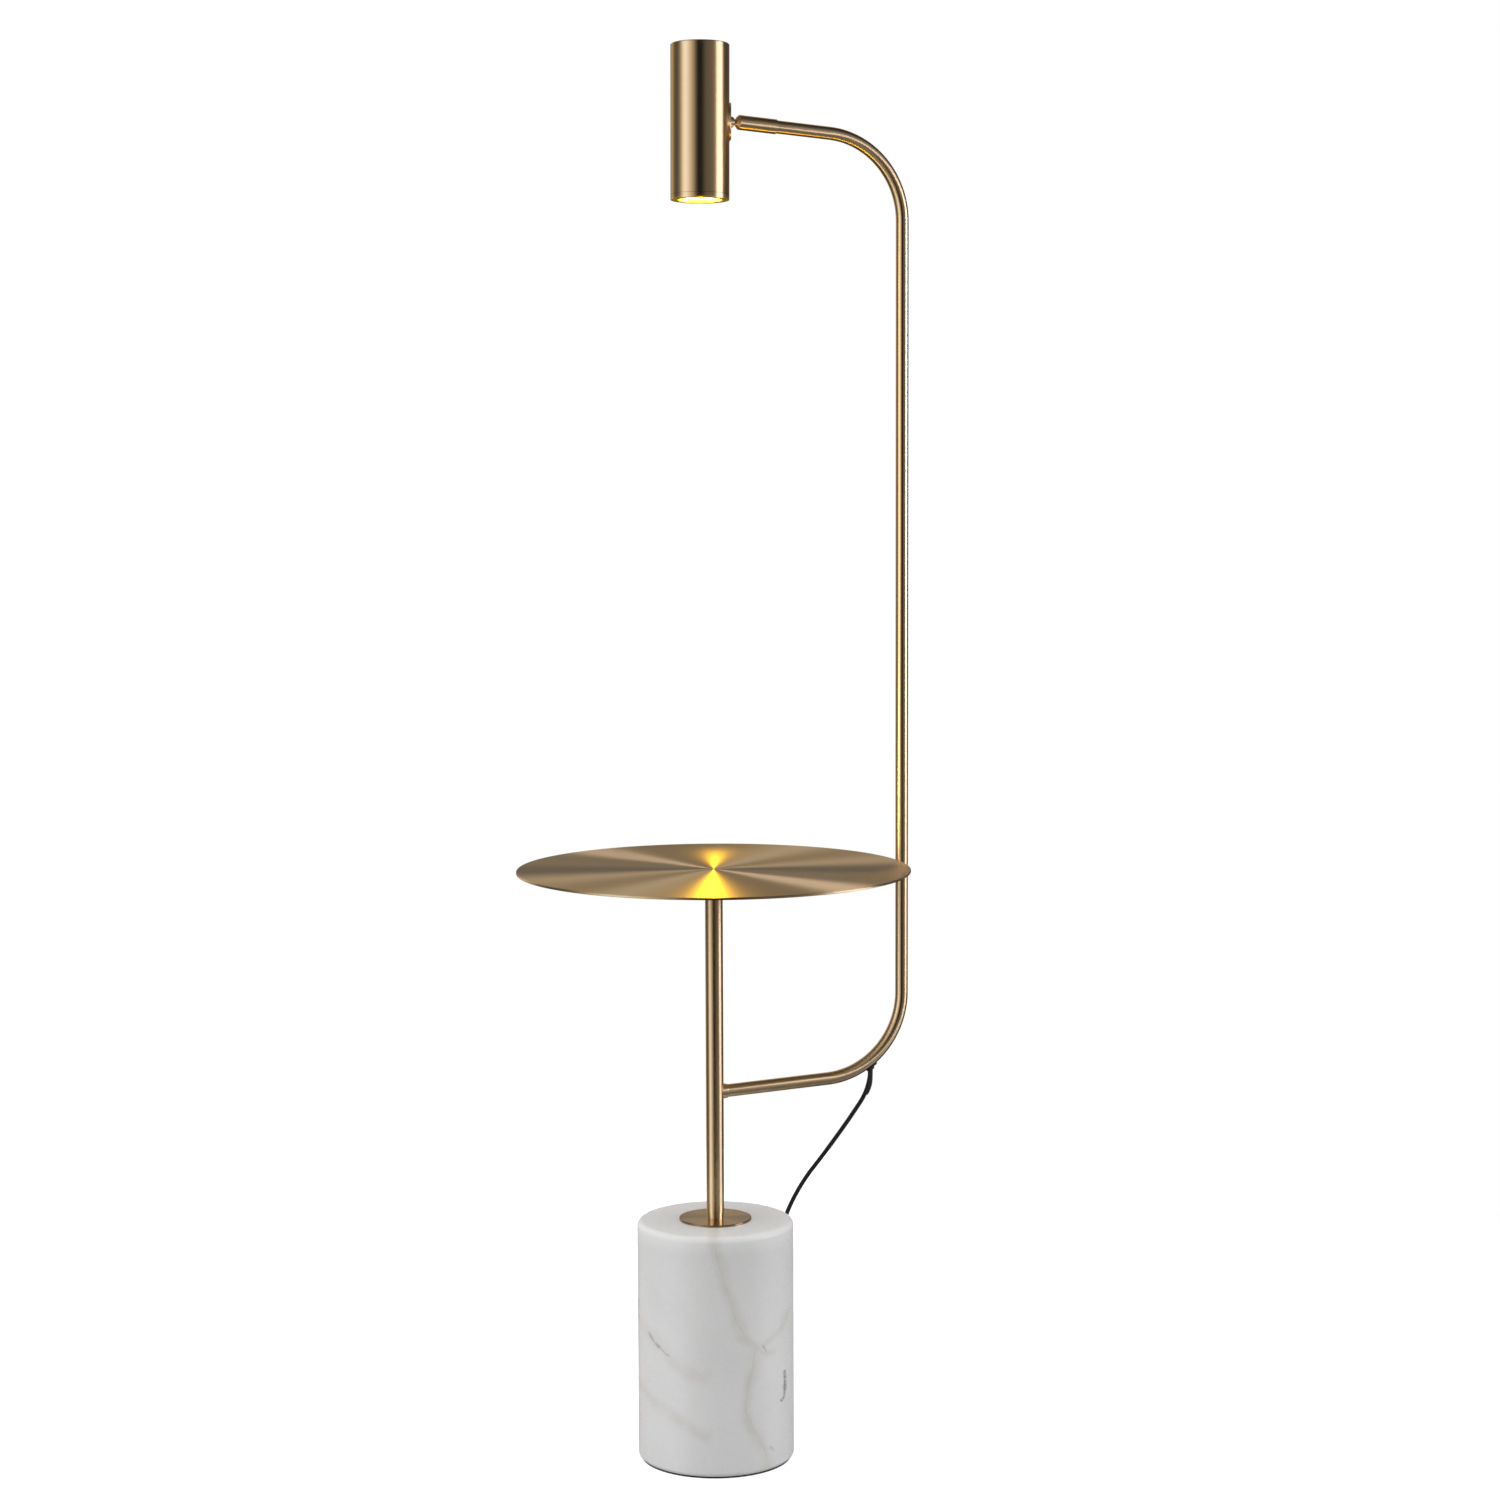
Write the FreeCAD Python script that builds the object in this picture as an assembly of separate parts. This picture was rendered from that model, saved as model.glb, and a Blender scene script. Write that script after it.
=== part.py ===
import FreeCAD, Part

import math
import os

# Floor lamp with a round table: a marble drum carries a column with a thin disc on top, and one
# slender bent tube leaves the column, passes the disc's rim and comes back over it with a spot head.
# Millimetres and degrees. +Z is up. The origin is on the floor, on the column's axis, and the bent
# tube lies in the XZ plane with its upright part on the +X side.

V = FreeCAD.Vector

# ---- fits -------------------------------------------------------------------------------------
seat_gap = 0.05          # between a piece and the fixed piece it is seated in
hole_gap = 0.25          # round a screw, stud or rod in its clearance hole
running_gap = 0.08       # radial, round the swivel's spindle
ball_gap = 0.15          # round the ball in its seat
past = 1.0               # how far a cutting shape runs past what it cuts

# ---- base -------------------------------------------------------------------------------------
base_radius = 80.0
marble_height = 246.4
marble_top_round = 6.0
marble_bottom_round = 4.0
pad_thickness = 1.6
pad_inset = 3.0
recess_radius = 32.0
recess_depth = 16.0
clamp_plate_thickness = 3.0
clamp_plate_margin = 3.0
rod_radius = 5.0
rod_bore_radius = 6.5
rod_nut_flats = 17.0
rod_nut_height = 8.0
rod_end_below_nut = 2.0
rod_end_in_plug = 1.0

# ---- rosette and column -----------------------------------------------------------------------
rosette_radius = 37.0
rosette_thickness = 2.0
rosette_round = 0.7
foot_ring_radius = 8.4
foot_ring_height = 5.0
column_radius = 9.0
column_wall = 1.5
foot_plug_length = 26.0
top_plug_length = 22.0

# ---- table ------------------------------------------------------------------------------------
table_radius = 200.0
table_thickness = 2.5
table_edge_round = 0.8
table_top = 610.0
flange_radius = 40.0
flange_thickness = 4.0
hub_radius = 13.0
hub_length = 12.0
centre_screw_radius = 4.0
centre_screw_head_radius = 7.8
centre_screw_length = 18.0
stud_radius = 2.0
stud_circle_radius = 28.0
stud_count = 4
stud_end_below_nut = 2.0
stud_nut_flats = 7.0
stud_nut_height = 3.2
rim_gap = 0.1
rim_bracket_length = 22.0
rim_bracket_width = 13.0
rim_bracket_height = 8.0
rim_stud_inset = 14.0

# ---- bent tube --------------------------------------------------------------------------------
tube_radius = 6.5
tube_wall = 1.2
bend_radius = 86.0
lower_arm_height = 380.0     # of the lower arm's axis where it meets the column's axis
lower_arm_rise = 2.25        # degrees, away from the column
upper_arm_height = 1359.5    # of the upper arm's axis above the column's axis
upper_arm_fall = 4.65        # degrees, away from the head
coupler_length = 60.0
collar_flare_radius = 0.9
collar_length = 4.4
collar_thin_edge = 0.15
spigot_length = 30.0
arm_screw_radius = 4.0
lead_first_rise = 6.0
lead_first_radius = 8.0
lead_straight = 0.6
tee_block_length = 24.0

# ---- swivel and ball joint, along the upper arm, measured from the ball's centre --------------------
ball_radius = 5.9
neck_radius = 3.0
sleeve_radius = 7.35
nose_mouth_radius = 4.75
nose_tip = -4.5
nose_corner = -2.1
swivel_seam = 27.5
seam_width = 0.2
sleeve_end = 38.0
sleeve_chamfer = 0.6
sleeve_bore_radius = 6.1
cup_end = 7.0
lead_bore_radius = 2.5
disc_spring_count = 4
disc_spring_pitch = 0.9
disc_spring_thickness = 0.45
disc_spring_outer_radius = 5.8
disc_spring_inner_radius = 3.2
pressure_ring_length = 4.0
bush_length = 4.0
friction_washer_thickness = 0.5
spindle_radius = 4.0
spindle_flange_radius = 5.6
spindle_flange_length = 2.4
spindle_grip_length = 5.4
stop_pin_radius = 0.6
stop_pin_circle_radius = 5.1
stop_pin_length = 3.8
stop_groove_depth = 1.6
stop_groove_gap = 0.1
swivel_limit = 165.0

# ---- lamp head, measured from its own axis and from the pivot's height ------------------------------
head_offset = -10.5          # of the head's axis from the column's axis
ball_reach = 42.7            # from the head's axis to the ball's centre
head_lean = 2.0              # degrees, open end towards -Y
head_side_lean = 1.0         # degrees, open end towards -X
head_radius = 29.2
head_wall = 1.5
head_bottom = -78.3
head_top = 74.9
cap_thickness = 2.5
cap_chamfer = 1.0
cap_spigot_length = 8.0
bezel_height = 5.5
bezel_round = 0.8
bezel_aperture_radius = 21.9
bezel_lip = 3.2
bezel_spigot_length = 8.0
spigot_wall = 1.5
saddle_radius = 18.9
saddle_thickness = 1.8
stud_flange_radius = 5.4
stud_flange_length = 3.8
stud_flange_round = 1.2
stud_cone_length = 1.4
head_stud_radius = 4.0
head_stud_inner_end = 17.5
head_stud_bore_radius = 1.4
inner_pad_radius = 9.0
inner_pad_face = 25.4
head_nut_flats = 13.0
head_nut_height = 6.0
lamp_rim_radius = 25.0
lamp_rim_height = 4.0
lamp_body_length = 50.0
lamp_neck_radius = 12.5
lamp_neck_length = 8.0
lamp_flank_inset = 3.0
lens_radius = 23.0
lens_thickness = 1.5
lamp_pin_radius = 1.6
lamp_pin_foot_radius = 2.4
lamp_pin_spacing = 10.0
lamp_pin_length = 6.5
lamp_pin_foot_length = 2.6
holder_radius = 14.5
holder_height = 12.0
holder_pin_bore_radius = 2.7
holder_pin_bore_depth = 7.5
bracket_thickness = 1.5
bracket_width = 15.0
bracket_overhang = 10.0
holder_screw_radius = 1.5
holder_screw_head_radius = 2.7
holder_screw_head_height = 1.8
holder_screw_length = 7.0
holder_screw_spacing = 17.0

# ---- cord, switch and plug --------------------------------------------------------------------
cord_radius = 2.25
cord_exit_inset = 35.1       # of the cord's exit from the upright's axis
cord_exit_drop = 0.6         # of the cord's exit below the tube
grommet_radius = 4.2
grommet_lip_radius = 5.4
grommet_lip_shift = 1.6
grommet_lip_thickness = 1.5
relief_length = 20.0
relief_top_radius = 2.8
relief_end_radius = 2.5
stored_direction = 70.0      # degrees round Z from +X, the way the stored cord lies from the base
switch_centre = V(104.5, 122.5, 0)
switch_length = 56.0
switch_width = 24.0
switch_height = 18.0
switch_wall = 1.8
switch_corner = 7.0
switch_edge_round = 2.5
button_radius = 7.5
button_proud = 3.0
button_travel = 2.0
button_flange = 1.5
button_gap = 0.3
button_round = 1.0
switch_core_length = 18.0
switch_core_width = 18.4
coil_centre = V(20.5, 132.0, 0)
coil_middle_radius = 27.0
coil_columns = 4
coil_layers = 2
coil_lift = 0.8
coil_edge_round = 2.0
tie_thickness = 0.6
tie_width = 6.0
tie_gap = 0.45
plug_tail = V(54.1, 136.6, 16.7)
plug_relief_length = 16.0
plug_body_length = 35.5
plug_body_width = 35.0
plug_tail_width = 14.0
plug_body_height = 13.4
plug_edge_round = 3.0
plug_waist = 16.0            # from the body's start to where it is full width
plug_relief_wall = 0.6
tie_direction = 190.0        # degrees round Z, where the tie holds the coil
plug_pin_radius = 2.0
plug_pin_length = 19.0
plug_pin_spacing = 18.6

cord_arc_share = 0.45

# ---- places worked out from the sizes ---------------------------------------------------------------
marble_bottom = pad_thickness
marble_top = marble_bottom + marble_height
rosette_top = marble_top + rosette_thickness
column_bottom = rosette_top + foot_ring_height
column_bore_radius = column_radius - column_wall
table_bottom = table_top - table_thickness
flange_bottom = table_bottom - flange_thickness
stem_x = table_radius + rim_gap + tube_radius
tube_bore_radius = tube_radius - tube_wall
lower_slope = math.radians(lower_arm_rise)
upper_slope = math.radians(upper_arm_fall)
lower_axis = V(math.cos(lower_slope), 0, math.sin(lower_slope))
upper_axis = V(math.cos(upper_slope), 0, -math.sin(upper_slope))
lower_corner = V(stem_x, 0, lower_arm_height + stem_x * math.tan(lower_slope))
upper_corner = V(stem_x, 0, upper_arm_height - stem_x * math.tan(upper_slope))
ball_x = head_offset + ball_reach
ball_centre = V(ball_x, 0, upper_arm_height - ball_x * math.tan(upper_slope))
stem_seam = table_top - table_thickness / 2
arm_end = swivel_seam + seam_width / 2 + spindle_grip_length
cap_bottom = head_top - cap_thickness
bezel_top = head_bottom + bezel_height
head_bore_radius = head_radius - head_wall
spigot_radius = head_bore_radius - seat_gap
lamp_front = head_bottom + bezel_lip + seat_gap
lamp_back = lamp_front + lamp_body_length
holder_top = lamp_back + holder_height
switch_axis_height = switch_height / 2
cord_pitch = 2 * cord_radius
coil_inner_radius = coil_middle_radius - coil_columns * cord_radius
coil_outer_radius = coil_middle_radius + coil_columns * cord_radius
coil_bottom = coil_lift
coil_top = coil_lift + coil_layers * cord_pitch
bend_reach = bend_radius * math.tan((math.pi / 2 - lower_slope) / 2)
bend_centre = lower_corner + V(-bend_radius, 0, bend_reach)
cord_exit_x = stem_x - cord_exit_inset
cord_exit_side = cord_exit_x - bend_centre.x
cord_exit_z = bend_centre.z - math.sqrt((bend_radius + tube_radius) ** 2 - cord_exit_side ** 2) - cord_exit_drop
cord_exit = V(cord_exit_x, 0, cord_exit_z)

arm_place = FreeCAD.Placement(ball_centre, FreeCAD.Rotation(V(0, 0, 1), upper_axis))
lower_arm_place = FreeCAD.Placement(V(0, 0, lower_arm_height), FreeCAD.Rotation(V(0, 0, 1), lower_axis))
head_turn = FreeCAD.Rotation(V(0, 1, 0), head_side_lean).multiply(FreeCAD.Rotation(V(1, 0, 0), -head_lean))
head_place = FreeCAD.Placement(ball_centre, head_turn).multiply(
    FreeCAD.Placement(V(-ball_reach, 0, 0), FreeCAD.Rotation()))
toward_arm = FreeCAD.Rotation(V(0, 0, 1), V(1, 0, 0))
stored_turn = FreeCAD.Rotation(V(0, 0, 1), stored_direction)

# The cord's route, chosen by hand. It hangs from the grommet, passes behind the base and lies on the
# floor there.
hanging_route = [
    cord_exit,
    cord_exit + V(0, 0, -20.0),
    cord_exit + V(-18.5, 8.0, -52.0),
    V(130.5, 22.0, 303),
    V(108.5, 38.5, 267),
    V(93.5, 55.5, 222),
    V(91.0, 57.5, 180),
    V(87.5, 55.5, 137),
    V(85.0, 55.5, 95),
    V(81.5, 56.0, 60),
    V(81.5, 58.0, 37),
    V(84.0, 67.0, 20.5),
    V(89.0, 81.0, 11),
    V(94.8, 95.9, 9),
]
floor_route = [
    V(114.2, 149.1, 9),
    V(119.0, 163.0, 7),
    V(115.5, 178.5, 4.5),
    V(104.5, 189.5, 3.2),
    V(89.0, 193.0, 3.0),
    V(56.0, 184.5, 3.1),
    V(31.0, 176.5, 3.0),
    V(7.5, 168.3, 3.05),
]
tail_route = [
    V(7.0, 95.2, 7.55),
    V(20.0, 88.8, 6.6),
    V(34.0, 83.4, 5.0),
    V(48.5, 81.2, 3.6),
    V(61.4, 83.4, 2.8),
    V(72.4, 90.0, 2.8),
    V(79.6, 100.4, 4.2),
    V(81.4, 112.8, 7.6),
    V(76.6, 124.2, 11.6),
    V(66.6, 132.0, 15.4),
    plug_tail,
]


# ---- shapes -----------------------------------------------------------------------------------
def point_on(corner):
    """The point of the XZ half plane for a (radius, height) corner."""
    return V(corner[0], 0, corner[1])


def on_ball(radius, angle):
    """The (radius, height) corner on a ball round the origin, at an angle above its equator."""
    return (radius * math.cos(angle), radius * math.sin(angle))


def turned(corners):
    """A solid of revolution about Z. A corner is (radius, height), or (middle, end) for an arc."""
    edges = []
    start = corners[0]
    for corner in corners[1:]:
        if isinstance(corner[0], tuple):
            middle, end = corner
            edges.append(Part.Arc(point_on(start), point_on(middle), point_on(end)).toShape())
        else:
            end = corner
            edges.append(Part.LineSegment(point_on(start), point_on(end)).toShape())
        start = end
    if start != corners[0]:
        edges.append(Part.LineSegment(point_on(start), point_on(corners[0])).toShape())
    return Part.Face(Part.Wire(edges)).revolve(V(0, 0, 0), V(0, 0, 1), 360)


def rod(radius, low, high, bore=0.0):
    """A round rod, or a ring where it has a bore, along Z."""
    solid = Part.makeCylinder(radius, high - low, V(0, 0, low))
    if bore > 0:
        solid = solid.cut(Part.makeCylinder(bore, high - low + 2 * past, V(0, 0, low - past)))
    return solid


def hex_nut(flats, low, high, bore):
    """A hexagon nut along Z."""
    corner_radius = flats / math.sqrt(3)
    corners = [V(corner_radius * math.cos(math.radians(a)), corner_radius * math.sin(math.radians(a)), low)
               for a in range(0, 420, 60)]
    blank = Part.Face(Part.makePolygon(corners)).extrude(V(0, 0, high - low))
    return blank.cut(rod(bore, low - past, high + past))


def moved(shape, x=0.0, y=0.0, z=0.0):
    copy = shape.copy()
    copy.translate(V(x, y, z))
    return copy


def placed(shape, placement):
    copy = shape.copy()
    copy.Placement = placement.multiply(copy.Placement)
    return copy


def along_x(shape):
    """Turns a shape made along Z so that it lies along X."""
    return placed(shape, FreeCAD.Placement(V(0, 0, 0), toward_arm))


def box(low, high):
    return Part.makeBox(high[0] - low[0], high[1] - low[1], high[2] - low[2], V(*low))


def joined(shapes):
    return shapes[0].fuse(shapes[1:]).removeSplitter()


def group(shapes):
    return Part.Compound(shapes)


def round_flat_rims(solid, radius, heights):
    """Rounds the edges that lie wholly at one of the given heights."""
    picked = [edge for edge in solid.Edges
              if any(abs(edge.BoundBox.ZMin - z) < 1e-4 and abs(edge.BoundBox.ZMax - z) < 1e-4
                     for z in heights)]
    return solid.makeFillet(radius, picked)


def route(points, radii=None):
    """Straight runs from point to point, joined by tangent arcs. Returns the wire and the radii."""
    edges = []
    used = []
    start = points[0]
    for index in range(1, len(points) - 1):
        corner = points[index]
        back = points[index - 1] - corner
        ahead = points[index + 1] - corner
        shorter = min(back.Length, ahead.Length)
        half_turn = (math.pi - back.getAngle(ahead)) / 2
        radius = radii[index - 1] if radii else cord_arc_share * shorter / math.tan(half_turn)
        reach = radius * math.tan(half_turn)
        back = back.normalize()
        ahead = ahead.normalize()
        inward = (back + ahead).normalize()
        enter = corner + back * reach
        leave = corner + ahead * reach
        middle = corner + inward * (radius / math.cos(half_turn) - radius)
        edges.append(Part.LineSegment(start, enter).toShape())
        edges.append(Part.Arc(enter, middle, leave).toShape())
        used.append(radius)
        start = leave
    edges.append(Part.LineSegment(start, points[-1]).toShape())
    return Part.Wire(edges), used


def swept(wire, start, toward, radius):
    """A round bar of the given radius along a wire."""
    circle = Part.Circle(start, toward - start, radius)
    return wire.makePipeShell([Part.Wire(circle.toShape())], True, False)


def bent_tube(points, radii, outer, inner):
    wire = route(points, radii)[0]
    return swept(wire, points[0], points[1], outer).cut(swept(wire, points[0], points[1], inner))


# ---- base -------------------------------------------------------------------------------------
def make_base():
    recess_top = marble_bottom + recess_depth
    drum = rod(base_radius, marble_bottom, marble_top)
    drum = round_flat_rims(drum, marble_top_round, [marble_top])
    drum = round_flat_rims(drum, marble_bottom_round, [marble_bottom])
    drum = drum.cut(rod(rod_bore_radius, marble_bottom - past, marble_top + past))
    drum = drum.cut(rod(recess_radius, marble_bottom - past, recess_top))
    plate_bottom = recess_top - clamp_plate_thickness
    nut_bottom = plate_bottom - rod_nut_height
    rod_bottom = nut_bottom - rod_end_below_nut
    rod_top = column_bottom + foot_plug_length - rod_end_in_plug
    thread_hole = rod_radius + seat_gap
    return {
        "marble_base": drum,
        "base_pad": rod(base_radius - pad_inset, 0, pad_thickness),
        "clamp_plate": rod(recess_radius - clamp_plate_margin, plate_bottom, recess_top,
                           rod_radius + hole_gap),
        "tie_rod_nut": hex_nut(rod_nut_flats, nut_bottom, plate_bottom, thread_hole),
        "tie_rod": rod(rod_radius, rod_bottom, rod_top),
    }


# ---- rosette and column -----------------------------------------------------------------------
def make_column():
    rosette = round_flat_rims(rod(rosette_radius, marble_top, rosette_top), rosette_round, [rosette_top])
    rosette = rosette.cut(rod(rod_radius + hole_gap, marble_top - past, rosette_top + past))
    thread_hole = rod_radius + seat_gap
    plug_radius = column_bore_radius - seat_gap
    tube = rod(column_radius, column_bottom, flange_bottom, column_bore_radius)
    screw_way = placed(rod(arm_screw_radius + hole_gap, 0, 2 * column_radius), lower_arm_place)
    tapped_way = placed(rod(arm_screw_radius + seat_gap, 0, 2 * column_radius), lower_arm_place)
    block_low = lower_arm_height - tee_block_length / 2
    block = rod(plug_radius, block_low, block_low + tee_block_length)
    screw_hole = rod(centre_screw_radius + seat_gap, flange_bottom - centre_screw_length, flange_bottom + past)
    return {
        "rosette": rosette,
        "foot_ring": rod(foot_ring_radius, rosette_top, column_bottom, rod_radius + hole_gap),
        "column_tube": tube.cut(screw_way),
        "column_foot_plug": rod(plug_radius, column_bottom, column_bottom + foot_plug_length, thread_hole),
        "tee_block": block.cut(tapped_way),
        "column_top_plug": rod(plug_radius, flange_bottom - top_plug_length, flange_bottom).cut(screw_hole),
    }


# ---- table ------------------------------------------------------------------------------------
def stud_places():
    """Centres of the studs under the disc: a ring on the flange and one at the rim bracket."""
    places = []
    for index in range(stud_count):
        angle = math.radians(45 + index * 360 / stud_count)
        places.append((stud_circle_radius * math.cos(angle), stud_circle_radius * math.sin(angle),
                       flange_bottom))
    places.append((table_radius - rim_stud_inset, 0, table_bottom - rim_bracket_height))
    return places


def make_table():
    disc = rod(table_radius, table_bottom, table_top)
    disc = round_flat_rims(disc, table_edge_round, [table_bottom, table_top])
    sink = turned([(0, flange_bottom - past), (centre_screw_radius + hole_gap, flange_bottom - past),
                   (centre_screw_radius + hole_gap, flange_bottom),
                   (centre_screw_head_radius + hole_gap, table_bottom), (0, table_bottom)])
    flange = joined([rod(flange_radius, flange_bottom, table_bottom),
                     rod(hub_radius, flange_bottom - hub_length, flange_bottom)])
    flange = flange.cut(rod(column_radius + seat_gap, flange_bottom - hub_length - past, flange_bottom))
    flange = flange.cut(sink)
    screw_tip = flange_bottom - centre_screw_length
    screw = turned([(0, screw_tip), (centre_screw_radius, screw_tip), (centre_screw_radius, flange_bottom),
                    (centre_screw_head_radius, table_bottom - seat_gap), (0, table_bottom - seat_gap)])
    bracket_end = stem_x - tube_radius / 2
    bracket = box((table_radius - rim_bracket_length, -rim_bracket_width / 2,
                   table_bottom - rim_bracket_height),
                  (bracket_end, rim_bracket_width / 2, table_bottom))
    bracket = bracket.cut(moved(rod(tube_radius, table_bottom - 2 * rim_bracket_height, table_top), stem_x))
    studs = []
    nuts = []
    for x, y, carrier_bottom in stud_places():
        nut_bottom = carrier_bottom - stud_nut_height
        studs.append(moved(rod(stud_radius, nut_bottom - stud_end_below_nut, table_bottom), x, y))
        nuts.append(moved(hex_nut(stud_nut_flats, nut_bottom, carrier_bottom, stud_radius + seat_gap), x, y))
        way = moved(rod(stud_radius + hole_gap, flange_bottom - rim_bracket_height, table_top), x, y)
        flange = flange.cut(way)
        bracket = bracket.cut(way)
    return {
        "table_disc": disc,
        "table_flange": flange,
        "flange_screw": screw,
        "disc_studs": group(studs),
        "stud_nuts": group(nuts),
        "rim_bracket": bracket,
    }


# ---- bent tube --------------------------------------------------------------------------------
def make_stem():
    column_cut = rod(column_radius, 0, table_bottom)
    arm_start = V(0, 0, lower_arm_height)
    lower_points = [arm_start, lower_corner, V(stem_x, 0, stem_seam)]
    lower = bent_tube(lower_points, [bend_radius], tube_radius, tube_bore_radius).cut(column_cut)
    cord_way = moved(rod(grommet_radius, cord_exit_z - 2 * tube_radius, cord_exit_z + tube_radius),
                     cord_exit_x)
    lower = lower.cut(cord_way)
    arm_tip = ball_centre + upper_axis * arm_end
    upper_points = [V(stem_x, 0, stem_seam), upper_corner, arm_tip]
    upper = bent_tube(upper_points, [bend_radius], tube_radius, tube_bore_radius)
    coupler = moved(rod(tube_bore_radius - seat_gap, stem_seam - coupler_length / 2,
                        stem_seam + coupler_length / 2, cord_radius + hole_gap), stem_x)
    flare_top = tube_radius + collar_flare_radius
    flare_end = column_radius + collar_length
    flare_low = flare_end - collar_flare_radius
    quarter = collar_flare_radius * (1 - math.sqrt(0.5))
    collar = turned([(tube_radius + seat_gap, 0), (flare_top, 0), (flare_top, flare_low - seat_gap),
                     ((flare_top - collar_flare_radius + quarter, flare_end - quarter - seat_gap),
                      (tube_radius + collar_thin_edge, flare_end)),
                     (tube_radius + seat_gap, flare_end)])
    collar = placed(collar, lower_arm_place).cut(column_cut)
    spigot_start = column_radius + seat_gap
    spigot = rod(tube_bore_radius - seat_gap, spigot_start, spigot_start + spigot_length)
    spigot = placed(spigot, lower_arm_place).cut(column_cut)
    spigot = joined([spigot, placed(rod(arm_screw_radius, 0, spigot_start + 2 * past), lower_arm_place)])
    return {
        "lower_tube": lower,
        "upper_tube": upper,
        "tube_coupler": coupler,
        "arm_collar": collar,
        "arm_spigot": spigot,
    }


def make_lead():
    """The lead inside the tube, from the grommet up to the swivel's spindle."""
    slope = math.asin(cord_exit_side / bend_radius)
    half_turn = (math.pi / 2 - slope) / 2
    first_corner = cord_exit + V(0, 0, lead_first_rise)
    second_corner = first_corner + V(cord_exit_inset, 0, cord_exit_inset * math.tan(slope))
    run = cord_exit_inset / math.cos(slope)
    left_for_bend = run - lead_first_radius * math.tan(half_turn) - lead_straight
    lead_end = ball_centre + upper_axis * (swivel_seam - bush_length - spindle_flange_length)
    points = [cord_exit, first_corner, second_corner, upper_corner, lead_end]
    radii = [lead_first_radius, left_for_bend / math.tan(half_turn), bend_radius]
    wire = route(points, radii)[0]
    return {"stem_lead": swept(wire, points[0], points[1], cord_radius)}


# ---- swivel and ball joint ----------------------------------------------------------------------
def make_swivel():
    seam_front = swivel_seam - seam_width / 2
    seam_back = swivel_seam + seam_width / 2
    seat_radius = ball_radius + ball_gap
    mouth_depth = -math.sqrt(seat_radius ** 2 - nose_mouth_radius ** 2)
    mouth_angle = math.acos(nose_mouth_radius / seat_radius)
    seat_middle = on_ball(seat_radius, -mouth_angle / 2)
    nose = turned([(nose_mouth_radius, nose_tip), (sleeve_radius, nose_corner), (sleeve_radius, seam_front),
                   (sleeve_bore_radius, seam_front), (sleeve_bore_radius, 0), (seat_radius, 0),
                   (seat_middle, (nose_mouth_radius, mouth_depth))])
    fill_radius = sleeve_bore_radius - seat_gap
    cup_rim = math.sqrt(seat_radius ** 2 - (fill_radius - seat_gap) ** 2)
    cup_hole = math.sqrt(seat_radius ** 2 - lead_bore_radius ** 2)
    cup_middle = on_ball(seat_radius, (math.acos((fill_radius - seat_gap) / seat_radius)
                                       + math.acos(lead_bore_radius / seat_radius)) / 2)
    cup = turned([(fill_radius - seat_gap, cup_rim), (fill_radius - seat_gap, cup_end),
                  (lead_bore_radius, cup_end), (lead_bore_radius, cup_hole),
                  (cup_middle, (fill_radius - seat_gap, cup_rim))])
    springs = []
    spring_low = cup_end
    for index in range(disc_spring_count):
        rise = disc_spring_pitch - disc_spring_thickness
        inner_low = spring_low + (rise if index % 2 else 0)
        outer_low = spring_low + (0 if index % 2 else rise)
        springs.append(turned([(disc_spring_inner_radius, inner_low),
                               (disc_spring_outer_radius, outer_low),
                               (disc_spring_outer_radius, outer_low + disc_spring_thickness),
                               (disc_spring_inner_radius, inner_low + disc_spring_thickness)]))
        spring_low += disc_spring_pitch
    ring = rod(fill_radius, spring_low, spring_low + pressure_ring_length, lead_bore_radius)
    bush_front = seam_front - bush_length
    shaft_hole = spindle_radius + running_gap
    bush = rod(fill_radius, bush_front, seam_front, shaft_hole)
    groove = rod(stop_pin_circle_radius + stop_pin_radius + stop_groove_gap, seam_front - stop_groove_depth,
                 seam_front + past, stop_pin_circle_radius - stop_pin_radius - stop_groove_gap)
    pin_half_angle = math.degrees(math.asin((stop_pin_radius + stop_groove_gap) / stop_pin_circle_radius))
    web_half_angle = 180 - swivel_limit - pin_half_angle
    web_width = 2 * stop_pin_circle_radius * math.sin(math.radians(web_half_angle))
    web = box((0, -web_width / 2, seam_front - 2 * stop_groove_depth),
              (sleeve_radius, web_width / 2, seam_front + 2 * past))
    bush = bush.cut(groove.cut(web))
    flange_back = bush_front - friction_washer_thickness
    washer = rod(spindle_flange_radius, flange_back, bush_front - seat_gap, shaft_hole)
    spindle = joined([rod(spindle_flange_radius, flange_back - spindle_flange_length, flange_back),
                      rod(spindle_radius, flange_back - past, arm_end)])
    spindle = spindle.cut(rod(lead_bore_radius, flange_back - spindle_flange_length - past, arm_end + past))
    collar = turned([(spindle_radius + seat_gap, seam_back), (sleeve_radius, seam_back),
                     (sleeve_radius, sleeve_end - sleeve_chamfer),
                     (sleeve_radius - sleeve_chamfer, sleeve_end),
                     (tube_radius + seat_gap, sleeve_end), (tube_radius + seat_gap, arm_end),
                     (spindle_radius + seat_gap, arm_end)])
    pin_back = seam_front + stop_pin_length - stop_groove_depth
    pin = moved(rod(stop_pin_radius, pin_back - stop_pin_length + stop_groove_gap, pin_back),
                -stop_pin_circle_radius)
    pin_hole = moved(rod(stop_pin_radius + seat_gap, seam_back - past, pin_back), -stop_pin_circle_radius)
    pieces = {
        "swivel_nose": nose,
        "ball_cup": cup,
        "disc_springs": group(springs),
        "pressure_ring": ring,
        "swivel_bush": bush,
        "friction_washer": washer,
        "swivel_spindle": spindle,
        "rear_collar": collar.cut(pin_hole),
        "stop_pin": pin,
    }
    return {name: placed(shape, arm_place) for name, shape in pieces.items()}


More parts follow.
